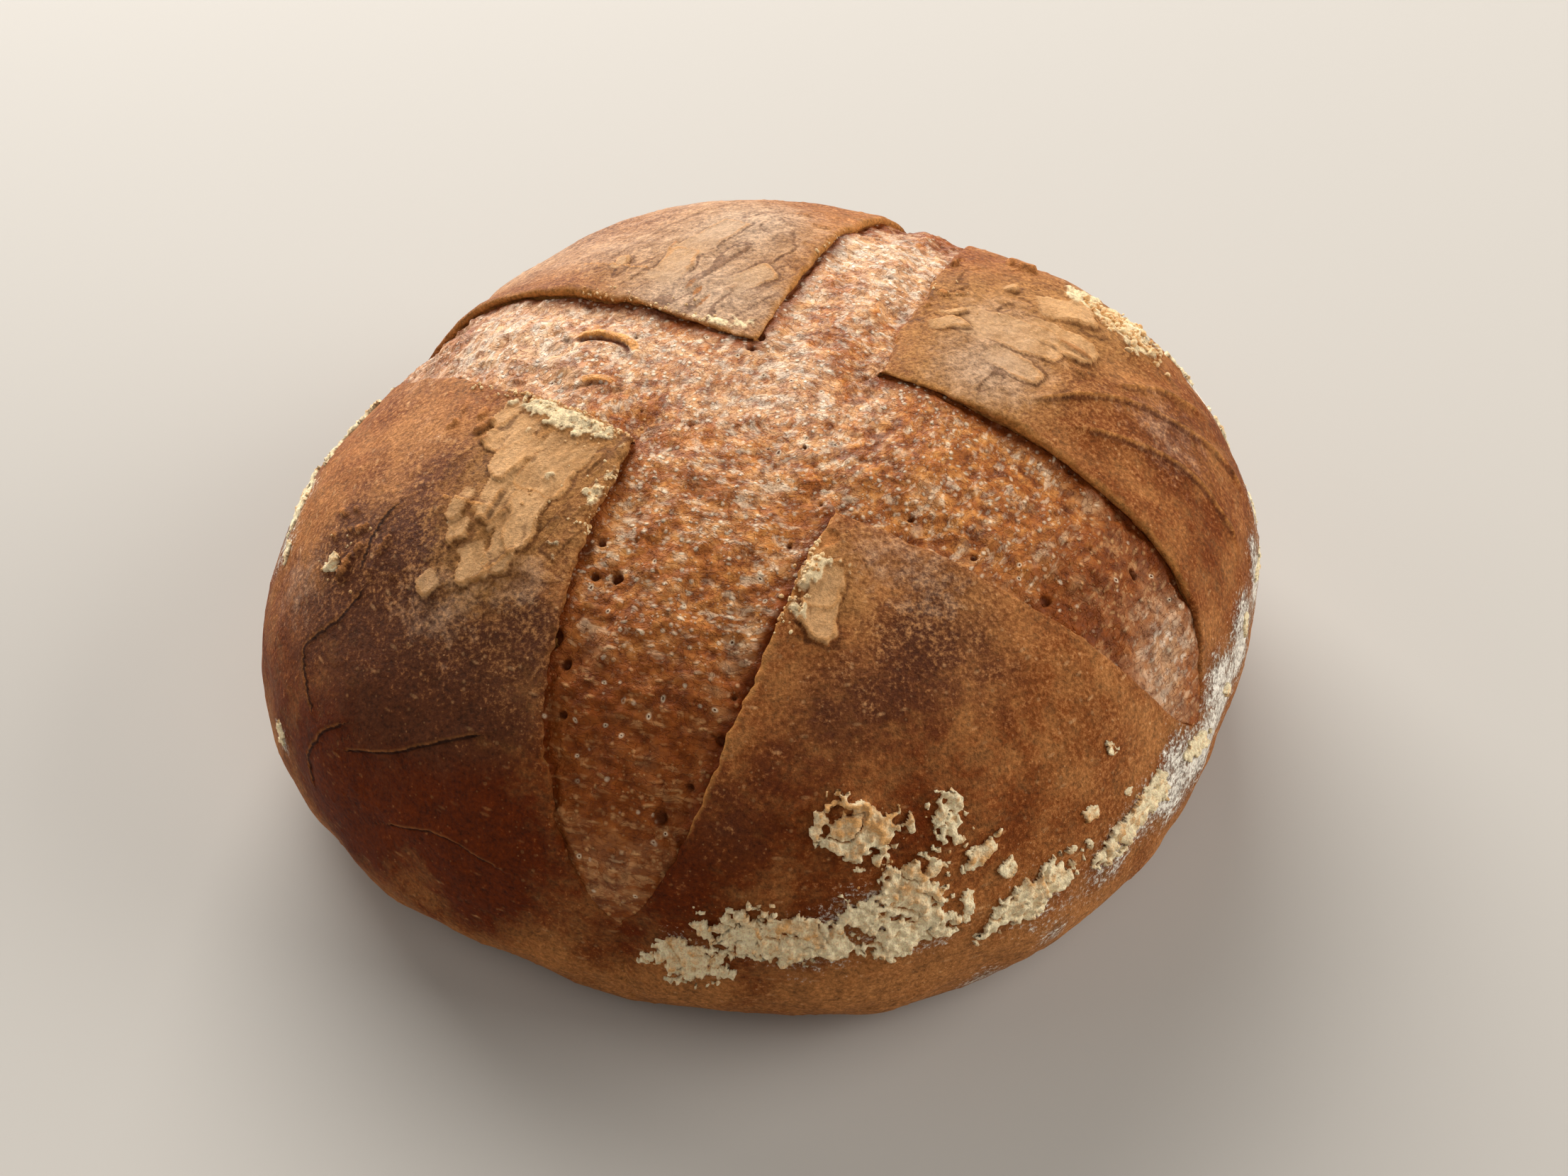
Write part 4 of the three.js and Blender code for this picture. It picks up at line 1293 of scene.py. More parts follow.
def ring_reaches(stops, counts):
    """Reaches of a ball's rings, evenly spaced from each stop to the next."""
    parts = [np.linspace(*ends, count)[1:] for *ends, count in zip(stops, stops[1:], counts)]
    return np.concatenate(([0], *parts))


def shaped_ball(name, dome, surface, reaches, columns_of_ring):
    """A closed ball: a grid wrapped round the loaf, joined along its seam and at both poles."""
    headings = np.array([columns_of_ring(reach) for reach in reaches])
    headings = np.column_stack((headings, headings[:, 0] + 360))
    headings[[0, -1]] = 0
    ball = shaped_grid(name, dome, surface, headings, reaches)
    apply_modifier(ball, "WELD", merge_threshold=SEAM_GAP * MM)
    return ball


def close_border(piece):
    """Closes a sheet whose border lies inside the loaf with one face from rim to rim."""
    select_only(piece)
    bpy.ops.object.mode_set(mode="EDIT")
    bpy.ops.mesh.select_mode(type="EDGE")
    bpy.ops.mesh.select_all(action="DESELECT")
    bpy.ops.mesh.select_non_manifold()
    bpy.ops.mesh.edge_face_add()
    bpy.ops.mesh.quads_convert_to_tris()
    bpy.ops.object.mode_set(mode="OBJECT")


def finish_piece(piece, material):
    """Smooths a piece, dresses it, and fixes it to the loaf's body in place of the solid."""
    select_only(piece)
    bpy.ops.object.shade_smooth()
    piece.data.materials.clear()
    piece.data.materials.append(material)
    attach(piece, BODY)
    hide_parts(NODE)


# ---------------------------------------------------------------------------------------------
# Finishes

MARK = "ShaderNodeAttribute"
NOISE = "ShaderNodeTexNoise"
CELLS = "ShaderNodeTexVoronoi"
SPREAD = "ShaderNodeMapRange"
MATH = "ShaderNodeMath"
SPLIT = "ShaderNodeSeparateColor"
BUMP = "ShaderNodeBump"
SHADER = "ShaderNodeBsdfPrincipled"
TINT = "ShaderNodeHueSaturation"
CRUST_MARKS = (
    *("scorched", "umber", "chalky_and_sheen", "peel", "sheet", "layers", "rim", "foot", "crumbled"),
    *("dusted", "from_edge", "from_crack", "nub", "flank"),
)
SKIN_MARKS = ("height", "hollow", "from_edge", "stands", "pale", "deep")
DOUGH_IOR = 1.45


def add(tree, kind, inputs=None, output=0, **settings):
    """Adds a node with its settings, fills its inputs with values or links, and gives its output."""
    node = tree.nodes.new(kind)
    for name, value in settings.items():
        setattr(node, name, value)
    for name, value in (inputs or {}).items():
        if isinstance(value, bpy.types.NodeSocket):
            tree.links.new(value, node.inputs[name])
        else:
            node.inputs[name].default_value = value
    return None if output is None else node.outputs[output]


def spread(value, low, high, to_low=0.0, to_high=1.0):
    """Inputs that turn the range from low to high into another one, and stop at its ends."""
    return {"Value": value, "From Min": low, "From Max": high, "To Min": to_low, "To Max": to_high}


def lay_over(tree, base, layers):
    """Lays colours over a base, each as thickly as its share says."""
    for share, colour in layers:
        inputs = {0: share, 6: base, 7: colour}
        base = add(tree, "ShaderNodeMix", inputs, 2, data_type="RGBA")
    return base


def total(tree, parts):
    """Sum of outputs, each with its weight."""
    result = None
    for value, weight in parts:
        inputs = {0: value, 1: weight, 2: 0.0 if result is None else result}
        result = add(tree, MATH, inputs, operation="MULTIPLY_ADD")
    return result


def graded(tree, parts, low, high, to_low=0.0, to_high=1.0):
    """A sum of outputs, whose range from low to high is turned into another one."""
    return add(tree, SPREAD, spread(total(tree, parts), low, high, to_low, to_high))


def scattered_dots(tree, place, spacing, radius, share):
    """1 in small dots, whose mean spacing and radius are in millimetres, and a share of them."""
    inputs = {"Vector": place, "Scale": per_metre(spacing), "Randomness": 1.0}
    away = add(tree, CELLS, inputs)
    colour = add(tree, CELLS, inputs, "Color")
    chosen = add(tree, SPREAD, spread(add(tree, SPLIT, {"Color": colour}), share, share - 0.05))
    edge = radius / spacing
    dot = add(tree, SPREAD, spread(away, edge, edge * 0.45))
    return add(tree, MATH, {0: dot, 1: chosen}, operation="MULTIPLY")


def per_metre(millimetres):
    """Scale of a pattern whose features are so many millimetres apart."""
    return 1 / (millimetres * MM)


def new_material(name):
    """An empty material, with its node tree."""
    material = bpy.data.materials.new(name)
    material.use_nodes = True
    material.node_tree.nodes.clear()
    return material, material.node_tree


def surface(tree, inputs):
    """Makes the surface of a material, from its colour, shine and fine relief."""
    add(tree, "ShaderNodeOutputMaterial", {"Surface": add(tree, SHADER, inputs)}, None)


def crust_material(finish):
    """Baked crust of wheat dough, hardened by an open oven.

    It gives the eye a sandy, mottled brown skin with hardly any shine: golden low on the
    flanks, chestnut above, deep red-brown on the thick shoulders and dull dark where it
    scorched. It is freckled with pale pin-head blisters, tan and floury where it smeared or
    tore, and dusted with flour near the foot. A painted sheen is laid into the dry, pale patches
    of the upper and back faces, a painted highlight along torn rims and the crests of fine lines,
    and painted shade at the feet of sheets, layers and lines and along the bottoms of cracks.
    """
    material, tree = new_material("browned_crust")
    place = add(tree, "ShaderNodeTexCoord", None, "Object")
    drawn = add(tree, MARK, None, "Vector", attribute_name="drawn_out")
    turned = {"Vector": place, "Rotation": (0, 0, -math.radians(SMEAR_HEADING))}
    smear = add(tree, "ShaderNodeMapping", turned, vector_type="POINT")
    smear = add(tree, "ShaderNodeVectorMath", {0: smear, 1: (0.25, 1, 1)}, operation="MULTIPLY")
    rough_noise = {"Detail": 8.0, "Roughness": 0.72}
    broad = add(tree, NOISE, {"Vector": place, "Scale": per_metre(18), "Detail": 3.0})
    mottle = add(tree, NOISE, {"Vector": place, "Scale": per_metre(5), **rough_noise})
    streak = add(tree, NOISE, {"Vector": drawn, "Scale": per_metre(3), **rough_noise})
    smear = add(tree, NOISE, {"Vector": smear, "Scale": per_metre(2.2), **rough_noise})
    sand = add(tree, NOISE, {"Vector": place, "Scale": per_metre(1.1), "Detail": 4.0, "Roughness": 0.75})
    mark = {
        name: add(tree, MARK, None, "Fac", attribute_name=name)
        for name in CRUST_MARKS
    }

    uneven = total(tree, ((mottle, 0.6), (streak, 0.4)))
    baked = graded(tree, ((broad, 1.5), (uneven, 2.0), (mark["flank"], -0.3)), 1.46, 1.9)
    umber = graded(tree, ((mark["umber"], 1.0), (uneven, 1.2), (broad, 0.6)), 1.05, 1.55)
    scorched = graded(tree, ((mark["scorched"], 1.0), (uneven, 1.6), (broad, 0.8)), 1.5, 1.9, 0, 0.95)
    # Dry, pale crust, partly a painted sheen on the upper and back faces
    chalky_and_sheen = graded(tree, ((mark["chalky_and_sheen"], 1.0), (uneven, 1.5)), 1.1, 1.8, 0, 0.75)
    small = total(tree, ((sand, 0.6), (uneven, 0.4)))
    small = total(tree, ((small, 1.0), (mark["umber"], -0.13), (mark["chalky_and_sheen"], 0.1)))
    speckle = add(tree, SPREAD, spread(small, 0.5, 0.64, 0, 0.72))

    dots = scattered_dots(tree, place, 2.6, 0.6, 0.3)
    dashes = scattered_dots(tree, drawn, 2.8, 0.6, 0.35)
    pricks = scattered_dots(tree, place, 1.5, 0.32, 0.3)
    speckle_colour = lay_over(tree, finish.dry, ((mark["umber"], finish.golden),))
    few = add(tree, SPREAD, spread(mark["umber"], 0, 1, 1, 0.75))
    pale_dots = total(tree, ((dots, 0.35), (dashes, 0.4), (pricks, 0.4)))
    dot_colour = lay_over(tree, finish.peeled, ((mark["umber"], finish.golden),))
    pale_dots = add(tree, MATH, {0: pale_dots, 1: few}, operation="MULTIPLY")

    peel = graded(
        tree, ((mark["peel"], 1.0), (smear, 0.8), (sand, 1.2), (mottle, 0.8)), 1.7, 2.3, 0, 0.9
    )
    sheet_tone = graded(tree, ((smear, 1.2), (mark["layers"], 0.2)), 0.85, 0.55, 0, 0.7)
    sheet_colour = lay_over(tree, finish.peeled, ((sheet_tone, finish.smeared),))
    sheet = graded(tree, ((mark["sheet"], 1.0), (sand, 0.3)), 0.5, 0.9, 0, 0.85)
    # Painted highlight on torn rims and crests, and painted shadow at the feet of sheets, layers and lines
    rim = add(tree, SPREAD, spread(mark["rim"], 0.3, 0.9, 0, 0.5))
    foot = add(tree, SPREAD, spread(mark["foot"], 0.15, 0.65, 0, 0.55))
    crumbled = graded(tree, ((mark["crumbled"], 1.0), (sand, 0.8), (mottle, 0.8)), 1.15, 1.65, 0, 0.95)
    nub = graded(tree, ((mark["nub"], 1.0), (sand, 0.5)), 0.6, 1.1, 0, 0.8)

    torn = graded(tree, ((mark["from_edge"], 1.0), (mottle, 3.0), (sand, 1.8)), 3.9, 2.7, 0, 0.9)
    crack = total(tree, ((mark["from_crack"], 1.0), (sand, 0.8), (mottle, 0.8), (-0.8, 1.0)))
    proud = add(tree, SPREAD, spread(crack, 1.1, 0.2))
    on_proud_side = add(tree, SPREAD, spread(crack, 0.1, 0.3, 0, 0.55))
    proud = add(tree, MATH, {0: proud, 1: on_proud_side}, operation="MULTIPLY")
    # Painted shade along the bottom of a crack's groove
    in_crack_shade = add(tree, MATH, {0: crack}, operation="ABSOLUTE")
    in_crack_shade = add(tree, SPREAD, spread(in_crack_shade, 0.5, 0.2, 0, 0.8))

    dust = graded(tree, ((mark["dusted"], 1.0), (streak, 1.0), (sand, 1.6)), 1.75, 2.05, 0, 0.92)

    colour = lay_over(
        tree,
        finish.golden,
        (
            (baked, finish.chestnut),
            (umber, finish.umber),
            (scorched, finish.scorched),
            (speckle, speckle_colour),
            (pale_dots, dot_colour),
            (peel, finish.smeared),
            (sheet, sheet_colour),
            (chalky_and_sheen, finish.chalky_and_sheen),
            # Painted shadow at the feet, then painted highlight on rims and crests
            (foot, finish.scorched),
            (rim, finish.torn),
            (nub, finish.golden),
            (torn, finish.torn),
            (crumbled, finish.crumbled),
            (proud, finish.golden),
            (in_crack_shade, finish.char),
            (dust, finish.flour),
        ),
    )
    shade = total(tree, ((sand, 1.5), (uneven, 1.4)))
    smooth_shade = add(tree, SPREAD, spread(shade, 1.15, 1.75, 0.82, 1.2))
    shade = add(tree, SPREAD, spread(shade, 1.15, 1.75, 0.46, 1.6))
    shade = add(tree, "ShaderNodeMix", {0: sheet, 2: shade, 3: smooth_shade})
    colour = add(tree, TINT, {"Value": shade, "Color": colour})
    height = total(tree, ((mottle, 0.8), (sand, 1.1), (smear, 0.3), (pale_dots, 0.4), (dust, 0.4)))
    bump = add(tree, BUMP, {"Height": height, "Strength": 1.0, "Distance": 0.8 * MM})
    rough = graded(tree, ((mottle, 0.4), (dust, 0.5), (peel, 0.2)), 0.1, 0.8, 0.55, 0.9)
    shine = {"Roughness": rough, "IOR": DOUGH_IOR, "Specular IOR Level": 0.1}
    surface(tree, {"Base Color": colour, **shine, "Normal": bump})
    return material


def skin_material(finish):
    """Dough skin stretched thin by the oven's heat, then baked.

    It gives the eye a mottled amber skin, russet in its creases and milky where it is thinnest,
    flecked with cream where tiny bubbles have a pale, slightly glossy cap, and pricked with
    pinholes. The russet of the creases, of low places and of the skin under the lips is painted
    shade, and so is the dark inside holes and hollows. The cream flecks are partly painted
    glints, laid most often on high places; the palest back arms carry a painted sheen, and the
    skin left standing round a burst bubble is painted with a glow of light shone through it.
    """
    material, tree = new_material("stretched_crumb_skin")
    place = add(tree, "ShaderNodeTexCoord", None, "Object")
    drawn = add(tree, MARK, None, "Vector", attribute_name="drawn_out")
    swirl = add(tree, NOISE, {"Vector": place, "Scale": per_metre(6), "Detail": 2.0}, "Color")
    push = {0: swirl, 1: (3 * MM, 3 * MM, 3 * MM), 2: place}
    wound = add(tree, "ShaderNodeVectorMath", push, operation="MULTIPLY_ADD")
    push = {0: swirl, 1: (2 * MM, 2 * MM, 3 * MM), 2: drawn}
    drawn = add(tree, "ShaderNodeVectorMath", push, operation="MULTIPLY_ADD")
    rough_noise = {"Detail": 6.0, "Roughness": 0.62}
    wide = add(tree, NOISE, {"Vector": place, "Scale": per_metre(12), "Detail": 3.0})
    tone = add(tree, NOISE, {"Vector": wound, "Scale": per_metre(3.6), **rough_noise})
    wisps = add(tree, NOISE, {"Vector": drawn, "Scale": per_metre(3.0), **rough_noise})
    sand = add(tree, NOISE, {"Vector": place, "Scale": per_metre(0.9), "Detail": 3.0, "Roughness": 0.7})
    mark = {
        name: add(tree, MARK, None, "Fac", attribute_name=name)
        for name in SKIN_MARKS
    }

    both = total(tree, ((tone, 0.5), (wisps, 0.5)))
    deep = graded(tree, ((mark["deep"], 1.0), (mark["pale"], -0.9), (wide, 0.6)), 0.3, 1.1, 0, 0.8)
    # Russet mottling follows the tone at random, and is laid more thickly in low places as painted shade
    russet = total(tree, ((tone, 0.7), (sand, 0.3), (mark["height"], 0.16), (mark["pale"], 0.05)))
    russet = add(tree, SPREAD, spread(russet, 0.58, 0.44, 0, 0.6))
    honey = graded(tree, ((both, 1.0), (wide, 0.3), (mark["pale"], 0.06)), 0.6, 0.76, 0, 0.9)
    fold = add(tree, NOISE, {"Vector": wound, "Scale": per_metre(3.0), "Detail": 3.0})
    wrinkle = add(tree, NOISE, {"Vector": drawn, "Scale": per_metre(2.4), "Detail": 3.0})
    lines = []
    for pattern in (fold, wrinkle):
        away = add(tree, MATH, {0: pattern, 1: 0.5}, operation="SUBTRACT")
        away = add(tree, MATH, {0: away}, operation="ABSOLUTE")
        lines.append(add(tree, SPREAD, spread(away, 0.035, 0.005)))
    # Lines along winding creases, darkened with painted shade
    crease_shade = total(tree, ((lines[0], 0.3), (lines[1], 0.3)))
    milky = graded(tree, ((mark["pale"], 0.5), (wisps, 0.9), (wide, 0.8)), 0.9, 1.35, 0, 0.8)

    # Cream dots: pale bubble caps, and partly painted glints; the smallest are painted glints only
    beads = scattered_dots(tree, place, 2.1, 0.68, 0.45)
    drops = scattered_dots(tree, drawn, 2.2, 0.68, 0.45)
    glint_dots = scattered_dots(tree, place, 1.2, 0.36, 0.45)
    panes = scattered_dots(tree, drawn, 6.0, 1.9, 0.4)
    strand = add(tree, "ShaderNodeVectorMath", {0: drawn, 1: (0.6, 0.6, 1.3)}, operation="MULTIPLY")
    strand = add(tree, NOISE, {"Vector": strand, "Scale": per_metre(3), "Detail": 3.0, "Roughness": 0.6})
    fleck = add(tree, NOISE, {"Vector": wound, "Scale": per_metre(2.4), "Detail": 2.0})
    ribbon = graded(
        tree, ((strand, 0.55), (fleck, 0.35), (wide, 0.2), (mark["pale"], 0.06)), 0.59, 0.66, 0, 0.5
    )
    dots = total(tree, ((beads, 0.9), (drops, 0.9), (glint_dots, 0.6), (panes, 0.4)))
    # Dots are laid more often on high places, where they stand for painted glints
    often = graded(
        tree, ((mark["height"], 0.6), (wide, 1.2), (mark["pale"], 0.3)), 0.65, 1.1, 0.2, 0.85
    )
    dots = add(tree, MATH, {0: dots, 1: often}, operation="MULTIPLY", use_clamp=True)
    baked_dots = add(tree, SPREAD, spread(deep, 0.1, 0.7, 0, 0.85))
    paler = ((mark["pale"], finish.pale), (baked_dots, finish.honey))
    dot_colour = lay_over(tree, finish.cream, paler)

    # Pinholes with painted shade at their middles and a cream ring round them
    shaded_pinholes = scattered_dots(tree, wound, 3.4, 0.34, 0.35)
    ringed = scattered_dots(tree, wound, 3.4, 0.8, 0.35)
    ring = total(tree, ((ringed, 0.8), (shaded_pinholes, -0.8)))
    # Painted shade on the skin under a lip
    under_lip_shade = graded(tree, ((mark["from_edge"], 1.0), (tone, 5.0)), -1.6, 1.2, 0, 0.85)
    # Painted glow of light shone through the standing skin of a burst bubble
    film_glow = add(tree, SPREAD, spread(mark["stands"], 0.08, 0.35, 0, 0.95))
    colour = lay_over(
        tree,
        finish.amber,
        (
            (honey, finish.honey),
            (russet, finish.russet),
            (milky, finish.milky),
            (deep, finish.caramel),
            (ribbon, dot_colour),
            (crease_shade, finish.russet),
            (under_lip_shade, finish.russet),
            (dots, dot_colour),
            (ring, finish.cream),
            # Painted shade in pinholes, holes and hollows
            (shaded_pinholes, finish.hole_shade),
            (mark["hollow"], finish.hole_shade),
            (film_glow, finish.film),
        ),
    )
    shade = graded(tree, ((sand, 0.6), (tone, 1.8)), 0.9, 1.5, 0.64, 1.26)
    colour = add(tree, TINT, {"Value": shade, "Color": colour})
    height = total(tree, ((both, 0.7), (sand, 0.35), (dots, 0.5), (crease_shade, -0.5), (shaded_pinholes, -0.8)))
    bump = add(tree, BUMP, {"Height": height, "Strength": 1.0, "Distance": 0.8 * MM})
    rough = graded(tree, ((sand, 0.5), (dots, -0.2)), 0.0, 0.35, 0.3, 0.6)
    shine = {"Roughness": rough, "IOR": DOUGH_IOR, "Specular IOR Level": 0.16}
    surface(tree, {"Base Color": colour, **shine, "Normal": bump})
    return material


def paste_material(finish):
    """Flour and water paste, dried and toasted in the oven.

    It gives the eye dull cream clods with a sandy surface, toasted on their high points and
    darker in the fissures and low places, where the toasted colour is laid as painted shade.
    """
    material, tree = new_material("flour_paste")
    place = add(tree, "ShaderNodeTexCoord", None, "Object")
    patchy = add(tree, NOISE, {"Vector": place, "Scale": per_metre(3.0), "Detail": 4.0, "Roughness": 0.65})
    sand = add(tree, NOISE, {"Vector": place, "Scale": per_metre(0.5), "Detail": 3.0, "Roughness": 0.7})
    high = add(tree, MARK, None, "Fac", attribute_name="height")
    cover = add(tree, MARK, None, "Fac", attribute_name="cover")
    toasted = add(tree, MARK, None, "Fac", attribute_name="toasted")
    toast = graded(tree, ((patchy, 1.0), (high, 0.5), (toasted, 0.35)), 0.8, 1.1, 0, 0.9)
    # Painted shade in the fissures and low places, in the toasted colour
    deep = add(tree, SPREAD, spread(total(tree, ((high, 1.0), (sand, 0.4))), 0.55, 0.25, 0, 0.7))
    dusty = add(tree, SPREAD, spread(cover, 0.9, 0.5, 0, 0.6))
    layers = ((toast, finish.toasted), (deep, finish.toasted), (dusty, finish.paste))
    colour = lay_over(tree, finish.paste, layers)
    shade = add(tree, SPREAD, spread(sand, 0.35, 0.65, 0.8, 1.25))
    colour = add(tree, TINT, {"Value": shade, "Color": colour})
    bump = add(tree, BUMP, {"Height": sand, "Strength": 1.0, "Distance": 0.5 * MM})
    shine = {"Roughness": 0.9, "Specular IOR Level": 0.2}
    surface(tree, {"Base Color": colour, **shine, "Normal": bump})
    return material


def crumb_material(finish):
    """Broken crumb, dry and matt.

    It gives the eye pale gold grains, browned on one side.
    """
    material, tree = new_material("broken_crumb")
    place = add(tree, "ShaderNodeTexCoord", None, "Object")
    patchy = add(tree, NOISE, {"Vector": place, "Scale": per_metre(1.6), "Detail": 3.0, "Roughness": 0.6})
    sand = add(tree, NOISE, {"Vector": place, "Scale": per_metre(0.4), "Detail": 2.0})
    browned = add(tree, SPREAD, spread(patchy, 0.42, 0.62))
    colour = lay_over(tree, finish.crumb, ((browned, finish.browned),))
    bump = add(tree, BUMP, {"Height": sand, "Strength": 0.7, "Distance": 0.3 * MM})
    surface(tree, {"Base Color": colour, "Roughness": 0.8, "Normal": bump})
    return material


# ---------------------------------------------------------------------------------------------
# Operators


class LOAF_OT_crust(bpy.types.Operator):
    """Browned crust of the flanks and the foot, and its four petals"""

    bl_idname = "loaf.crust"
    bl_label = "Browned crust"

    def execute(self, context):
        dome = Dome(context.scene.loaf_form)
        material = crust_material(context.scene.loaf_crust_finish)
        stops = (0, BODY_START[0], dome.foot_reach, dome.reaches[-1])
        even = np.arange(0, 360, BODY_COLUMN)
        reaches = ring_reaches(stops, BODY_RINGS)
        body = shaped_ball("crust_flanks", dome, body_surface, reaches, lambda reach: even)
        thin_out(body, MOST_TRIANGLES)
        finish_piece(body, material)

        reaches = np.linspace(PETAL_START, PETAL_END[1], PETAL_RINGS)
        shares = petal_columns()
        for index in range(len(PETALS)):
            edges = [sector_edges(dome, index, reach, PETAL_TUCK) for reach in reaches]
            headings = np.array([mix(first, last, shares) for first, last in edges])
            petal = shaped_grid("crust_petal", dome, petal_surface, headings, reaches)
            close_border(petal)
            finish_piece(petal, material)
        return {"FINISHED"}


class LOAF_OT_skin(bpy.types.Operator):
    """Skin of the crumb in the arms of the cross"""

    bl_idname = "loaf.skin"
    bl_label = "Skin of the cross"

    def execute(self, context):
        dome = Dome(context.scene.loaf_form)
        last = max(arm.end for arm in ARMS) + SKIN_PAST_ARMS
        reaches = ring_reaches((0, last, dome.reaches[-1]), SKIN_RINGS)
        columns = functools.partial(skin_columns, dome)
        skin = shaped_ball("cross_skin", dome, skin_surface, reaches, columns)
        thin_out(skin, MOST_TRIANGLES)
        finish_piece(skin, skin_material(context.scene.loaf_skin_finish))
        return {"FINISHED"}


class LOAF_OT_paste(bpy.types.Operator):
    """Lumps of baked flour paste"""

    bl_idname = "loaf.paste"
    bl_label = "Flour paste"

    def execute(self, context):
        dome = Dome(context.scene.loaf_form)
        patches_made = []
        for patch in PASTE_PATCHES:
            width = math.radians(patch.to_heading - patch.from_heading) * dome.radius
            columns = int(width / PASTE_SPACING)
            rings = int((patch.to_reach - patch.from_reach) / PASTE_SPACING)
            across = np.linspace(patch.from_heading, patch.to_heading, columns)
            reaches = np.linspace(patch.from_reach, patch.to_reach, rings)
            headings = np.tile(across, (rings, 1))
            made = shaped_grid("flour_paste", dome, paste_surface, headings, reaches)
            drop_unmarked(made, "cover", LEAST_COVER)
            patches_made.append(made)
        paste = joined(patches_made)
        apply_modifier(paste, "SOLIDIFY", thickness=PASTE_SHELL * MM, offset=-1)
        thin_out(paste, MOST_PASTE_TRIANGLES)
        finish_piece(paste, paste_material(context.scene.loaf_paste_finish))
        return {"FINISHED"}


def strewn(dome, heap, draw):
    """Headings, reaches and sizes of the crumbs of a heap."""
    turn = np.degrees(draw.normal(0, heap.spread, heap.count) / dome.plan_radius(heap.reach))
    reach = heap.reach + draw.normal(0, heap.spread, heap.count)
    return heap.heading + turn, reach, heap.size * draw.uniform(*HEAP_SIZES, heap.count)


def along_edge(dome, crumbs, draw):
    """Headings, reaches and sizes of the crumbs along a torn edge."""
    reach = draw.uniform(crumbs.from_reach, crumbs.to_reach, crumbs.count)
    middle, half = arm_line(ARMS[crumbs.arm], reach)
    inside = half + draw.exponential(EDGE_STRAY, crumbs.count) + EDGE_INSET
    turn = np.degrees(np.arcsin(inside / dome.plan_radius(reach)))
    size = crumbs.size * draw.uniform(*EDGE_SIZES, crumbs.count)
    return middle + crumbs.side * turn, reach, size


class LOAF_OT_crumbs(bpy.types.Operator):
    """Loose crumbs of broken crust"""

    bl_idname = "loaf.crumbs"
    bl_label = "Crumbs"

    def execute(self, context):
        dome = Dome(context.scene.loaf_form)
        draw = np.random.default_rng(CRUMB_SEED)
        places = [strewn(dome, heap, draw) for heap in CRUMB_HEAPS]
        places += [along_edge(dome, crumbs, draw) for crumbs in EDGE_CRUMBS]
        heading, reach, size = np.concatenate(places, axis=1)
        on_crust, _ = crust_surface(dome, heading, reach)
        on_skin, _ = skin_surface(dome, heading, reach)
        out = dome.outward(heading, reach)
        lift = np.maximum(np.sum((on_skin - on_crust) * out, axis=1), 0) + CRUMB_SUNK * size
        crumbs = []
        for place, width in zip(in_frame(dome, on_crust + out * lift[:, None]), size):
            deselect()
            bpy.ops.mesh.primitive_ico_sphere_add(
                subdivisions=2,
                radius=width / 2 * MM,
                location=place,
                rotation=draw.uniform(0, math.tau, 3),
                scale=draw.uniform(*CRUMB_SHAPES, 3),
            )
            crumbs.append(context.object)
        crumb = joined(crumbs)
        crumb.name = "crumbs"
        bpy.ops.object.transform_apply(location=True, rotation=True, scale=True)
        count = len(crumb.data.vertices)
        corners = np.empty(count * 3)
        normals = np.empty(count * 3)
        crumb.data.vertices.foreach_get("co", corners)
        crumb.data.vertices.foreach_get("normal", normals)
        corners = corners.reshape(-1, 3)
        push = bumps(corners / MM, *CRUMB_CRAGS)
        corners += normals.reshape(-1, 3) * push[:, None] * MM
        crumb.data.vertices.foreach_set("co", corners.ravel())
        finish_piece(crumb, crumb_material(context.scene.loaf_paste_finish))
        return {"FINISHED"}


# Soft lights: heading and height round the loaf in degrees, distance and size in metres, watts
SoftLight = namedtuple("SoftLight", "name heading elevation distance size power")
SOFT_LIGHTS = (
    SoftLight("sky_behind", 108, 28, 2.2, 2.0, 100),
    SoftLight("sky_right", 0, 30, 2.0, 1.4, 30),
    SoftLight("sky_left", 178, 25, 2.0, 1.4, 9),
    SoftLight("sky_in_front", -80, 50, 2.2, 1.6, 9),
)
SKY_COLOUR = "#efeae4"
SKY_STRENGTH = 0.1
FLOOR_COLOUR = "#b9b2a8"
FLOOR_SIZE = 8

# The camera: where it stands from the dome's axis, in millimetres, its tilt up from straight down
# in degrees, and the millimetres of its lens and film
CAMERA_PLACE = (2.98, -399.8, 435)
CAMERA_TILT = 45
CAMERA_LENS = 49.1
CAMERA_SENSOR = 36


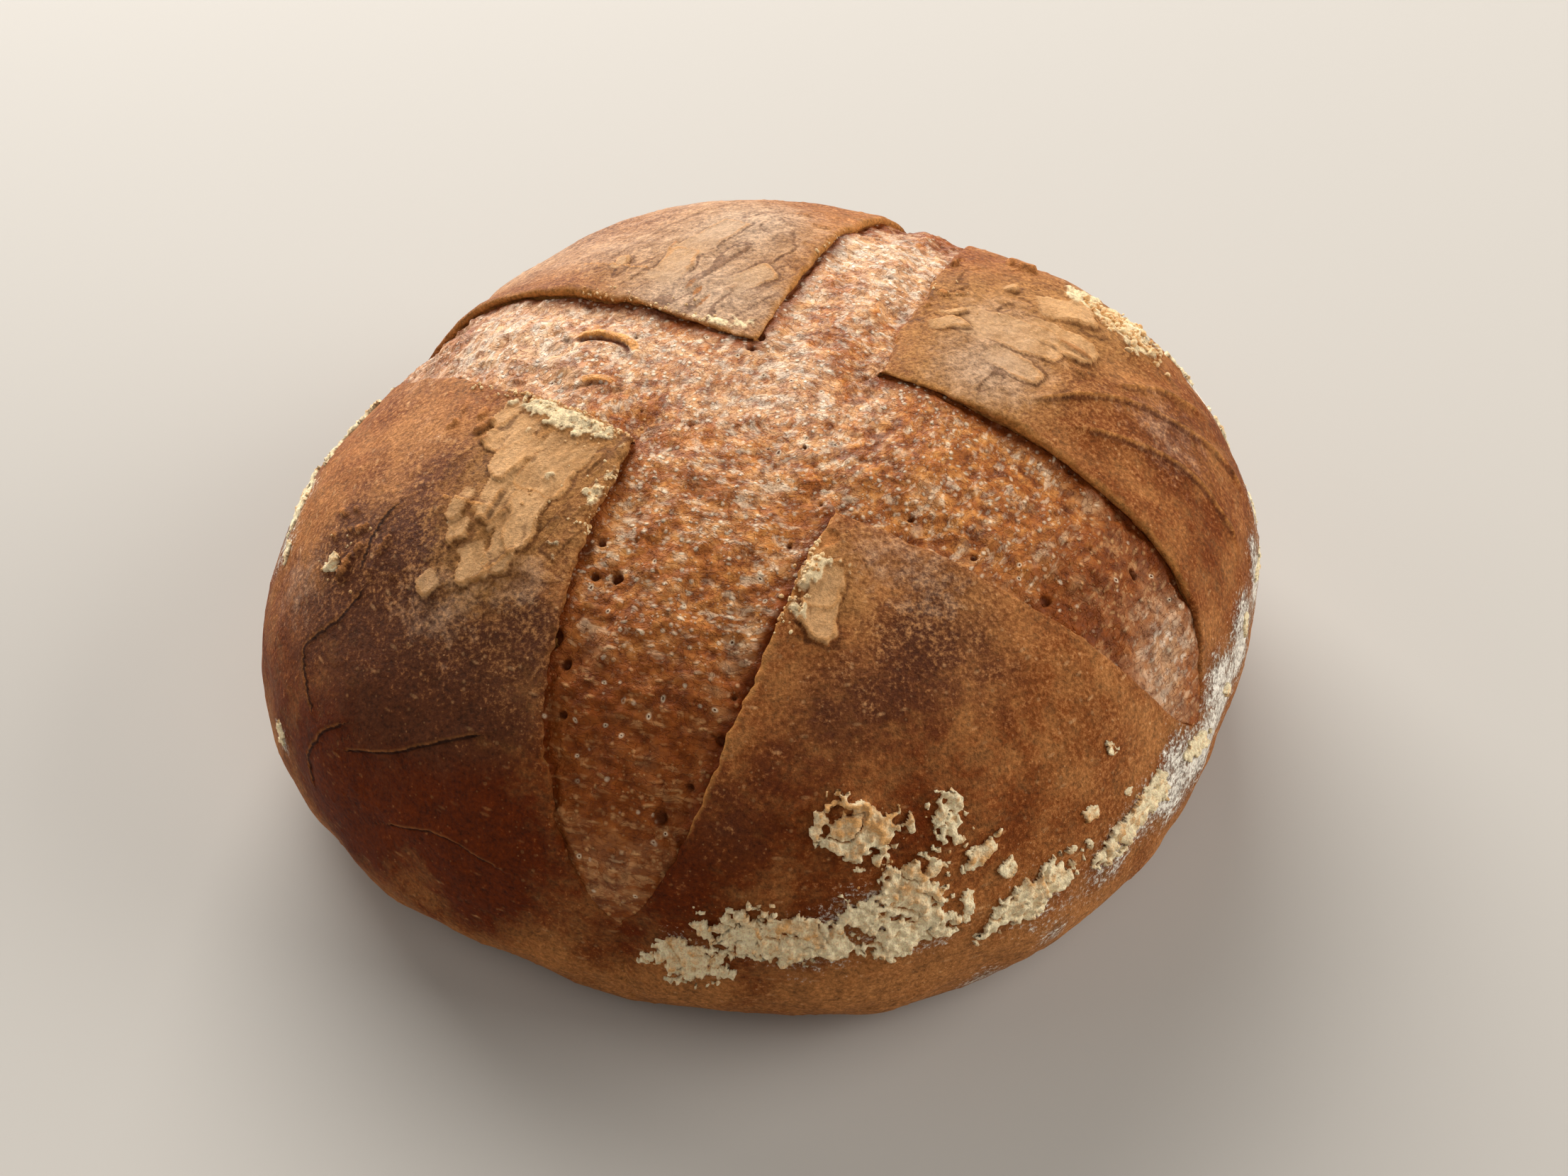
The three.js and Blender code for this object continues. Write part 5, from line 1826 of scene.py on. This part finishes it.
class LOAF_OT_stage(bpy.types.Operator):
    """Pale floor, soft light and camera"""

    bl_idname = "loaf.stage"
    bl_label = "Stage"

    def execute(self, context):
        dome = Dome(context.scene.loaf_form)
        deselect()
        bpy.ops.mesh.primitive_plane_add(size=FLOOR_SIZE)
        floor = context.object
        floor.name = "floor"
        material, tree = new_material("pale_floor")
        surface(tree, {"Base Color": linear(FLOOR_COLOUR), "Roughness": 0.85})
        floor.data.materials.append(material)

        world = bpy.data.worlds.new("soft_sky")
        world.use_nodes = True
        sky = world.node_tree.nodes["Background"]
        sky.inputs["Color"].default_value = linear(SKY_COLOUR)
        sky.inputs["Strength"].default_value = SKY_STRENGTH
        context.scene.world = world

        for made in SOFT_LIGHTS:
            heading = math.radians(made.heading)
            height = math.radians(made.elevation)
            level = made.distance * math.cos(height)
            place = (
                level * math.cos(heading),
                level * math.sin(heading),
                made.distance * math.sin(height),
            )
            deselect()
            bpy.ops.object.light_add(type="AREA", location=place)
            light = context.object
            light.name = made.name
            light.data.shape = "SQUARE"
            light.data.size = made.size
            light.data.energy = made.power
            light.rotation_euler = (-light.location).to_track_quat("-Z", "Y").to_euler()

        deselect()
        place = (np.array((*dome.axis, 0)) + CAMERA_PLACE) * MM
        bpy.ops.object.camera_add(location=place, rotation=(math.radians(CAMERA_TILT), 0, 0))
        camera = context.object
        camera.name = "camera"
        camera.data.lens = CAMERA_LENS
        camera.data.sensor_width = CAMERA_SENSOR
        camera.data.dof.use_dof = False
        context.scene.camera = camera
        context.scene.view_settings.view_transform = "Standard"
        context.scene.view_settings.look = "None"
        return {"FINISHED"}


class LOAF_PT_panel(bpy.types.Panel):
    """Builds the loaf piece by piece"""

    bl_idname = "LOAF_PT_panel"
    bl_label = "Sourdough Loaf"
    bl_space_type = "VIEW_3D"
    bl_region_type = "UI"
    bl_category = "Loaf"

    def draw(self, context):
        for operator in OPERATORS:
            self.layout.operator(operator.bl_idname)
        for name, group in SETTINGS.items():
            box = self.layout.box()
            for setting in group.__annotations__:
                box.prop(getattr(context.scene, name), setting)


SETTINGS = {
    "loaf_form": LoafForm,
    "loaf_crust_finish": CrustFinish,
    "loaf_skin_finish": SkinFinish,
    "loaf_paste_finish": PasteFinish,
}
OPERATORS = (LOAF_OT_crust, LOAF_OT_skin, LOAF_OT_paste, LOAF_OT_crumbs, LOAF_OT_stage)
CLASSES = (*SETTINGS.values(), *OPERATORS, LOAF_PT_panel)


def register():
    """Makes the settings, operators and panel known to Blender."""
    for made in CLASSES:
        bpy.utils.register_class(made)
    for name, group in SETTINGS.items():
        setattr(bpy.types.Scene, name, bpy.props.PointerProperty(type=group))


def unregister():
    """Takes them away again."""
    for name in SETTINGS:
        delattr(bpy.types.Scene, name)
    for made in reversed(CLASSES):
        bpy.utils.unregister_class(made)


def main():
    """Builds the whole loaf and its stage."""
    register()
    bpy.ops.loaf.crust()
    bpy.ops.loaf.skin()
    bpy.ops.loaf.paste()
    bpy.ops.loaf.crumbs()
    bpy.ops.loaf.stage()


if __name__ == "__main__":
    main()
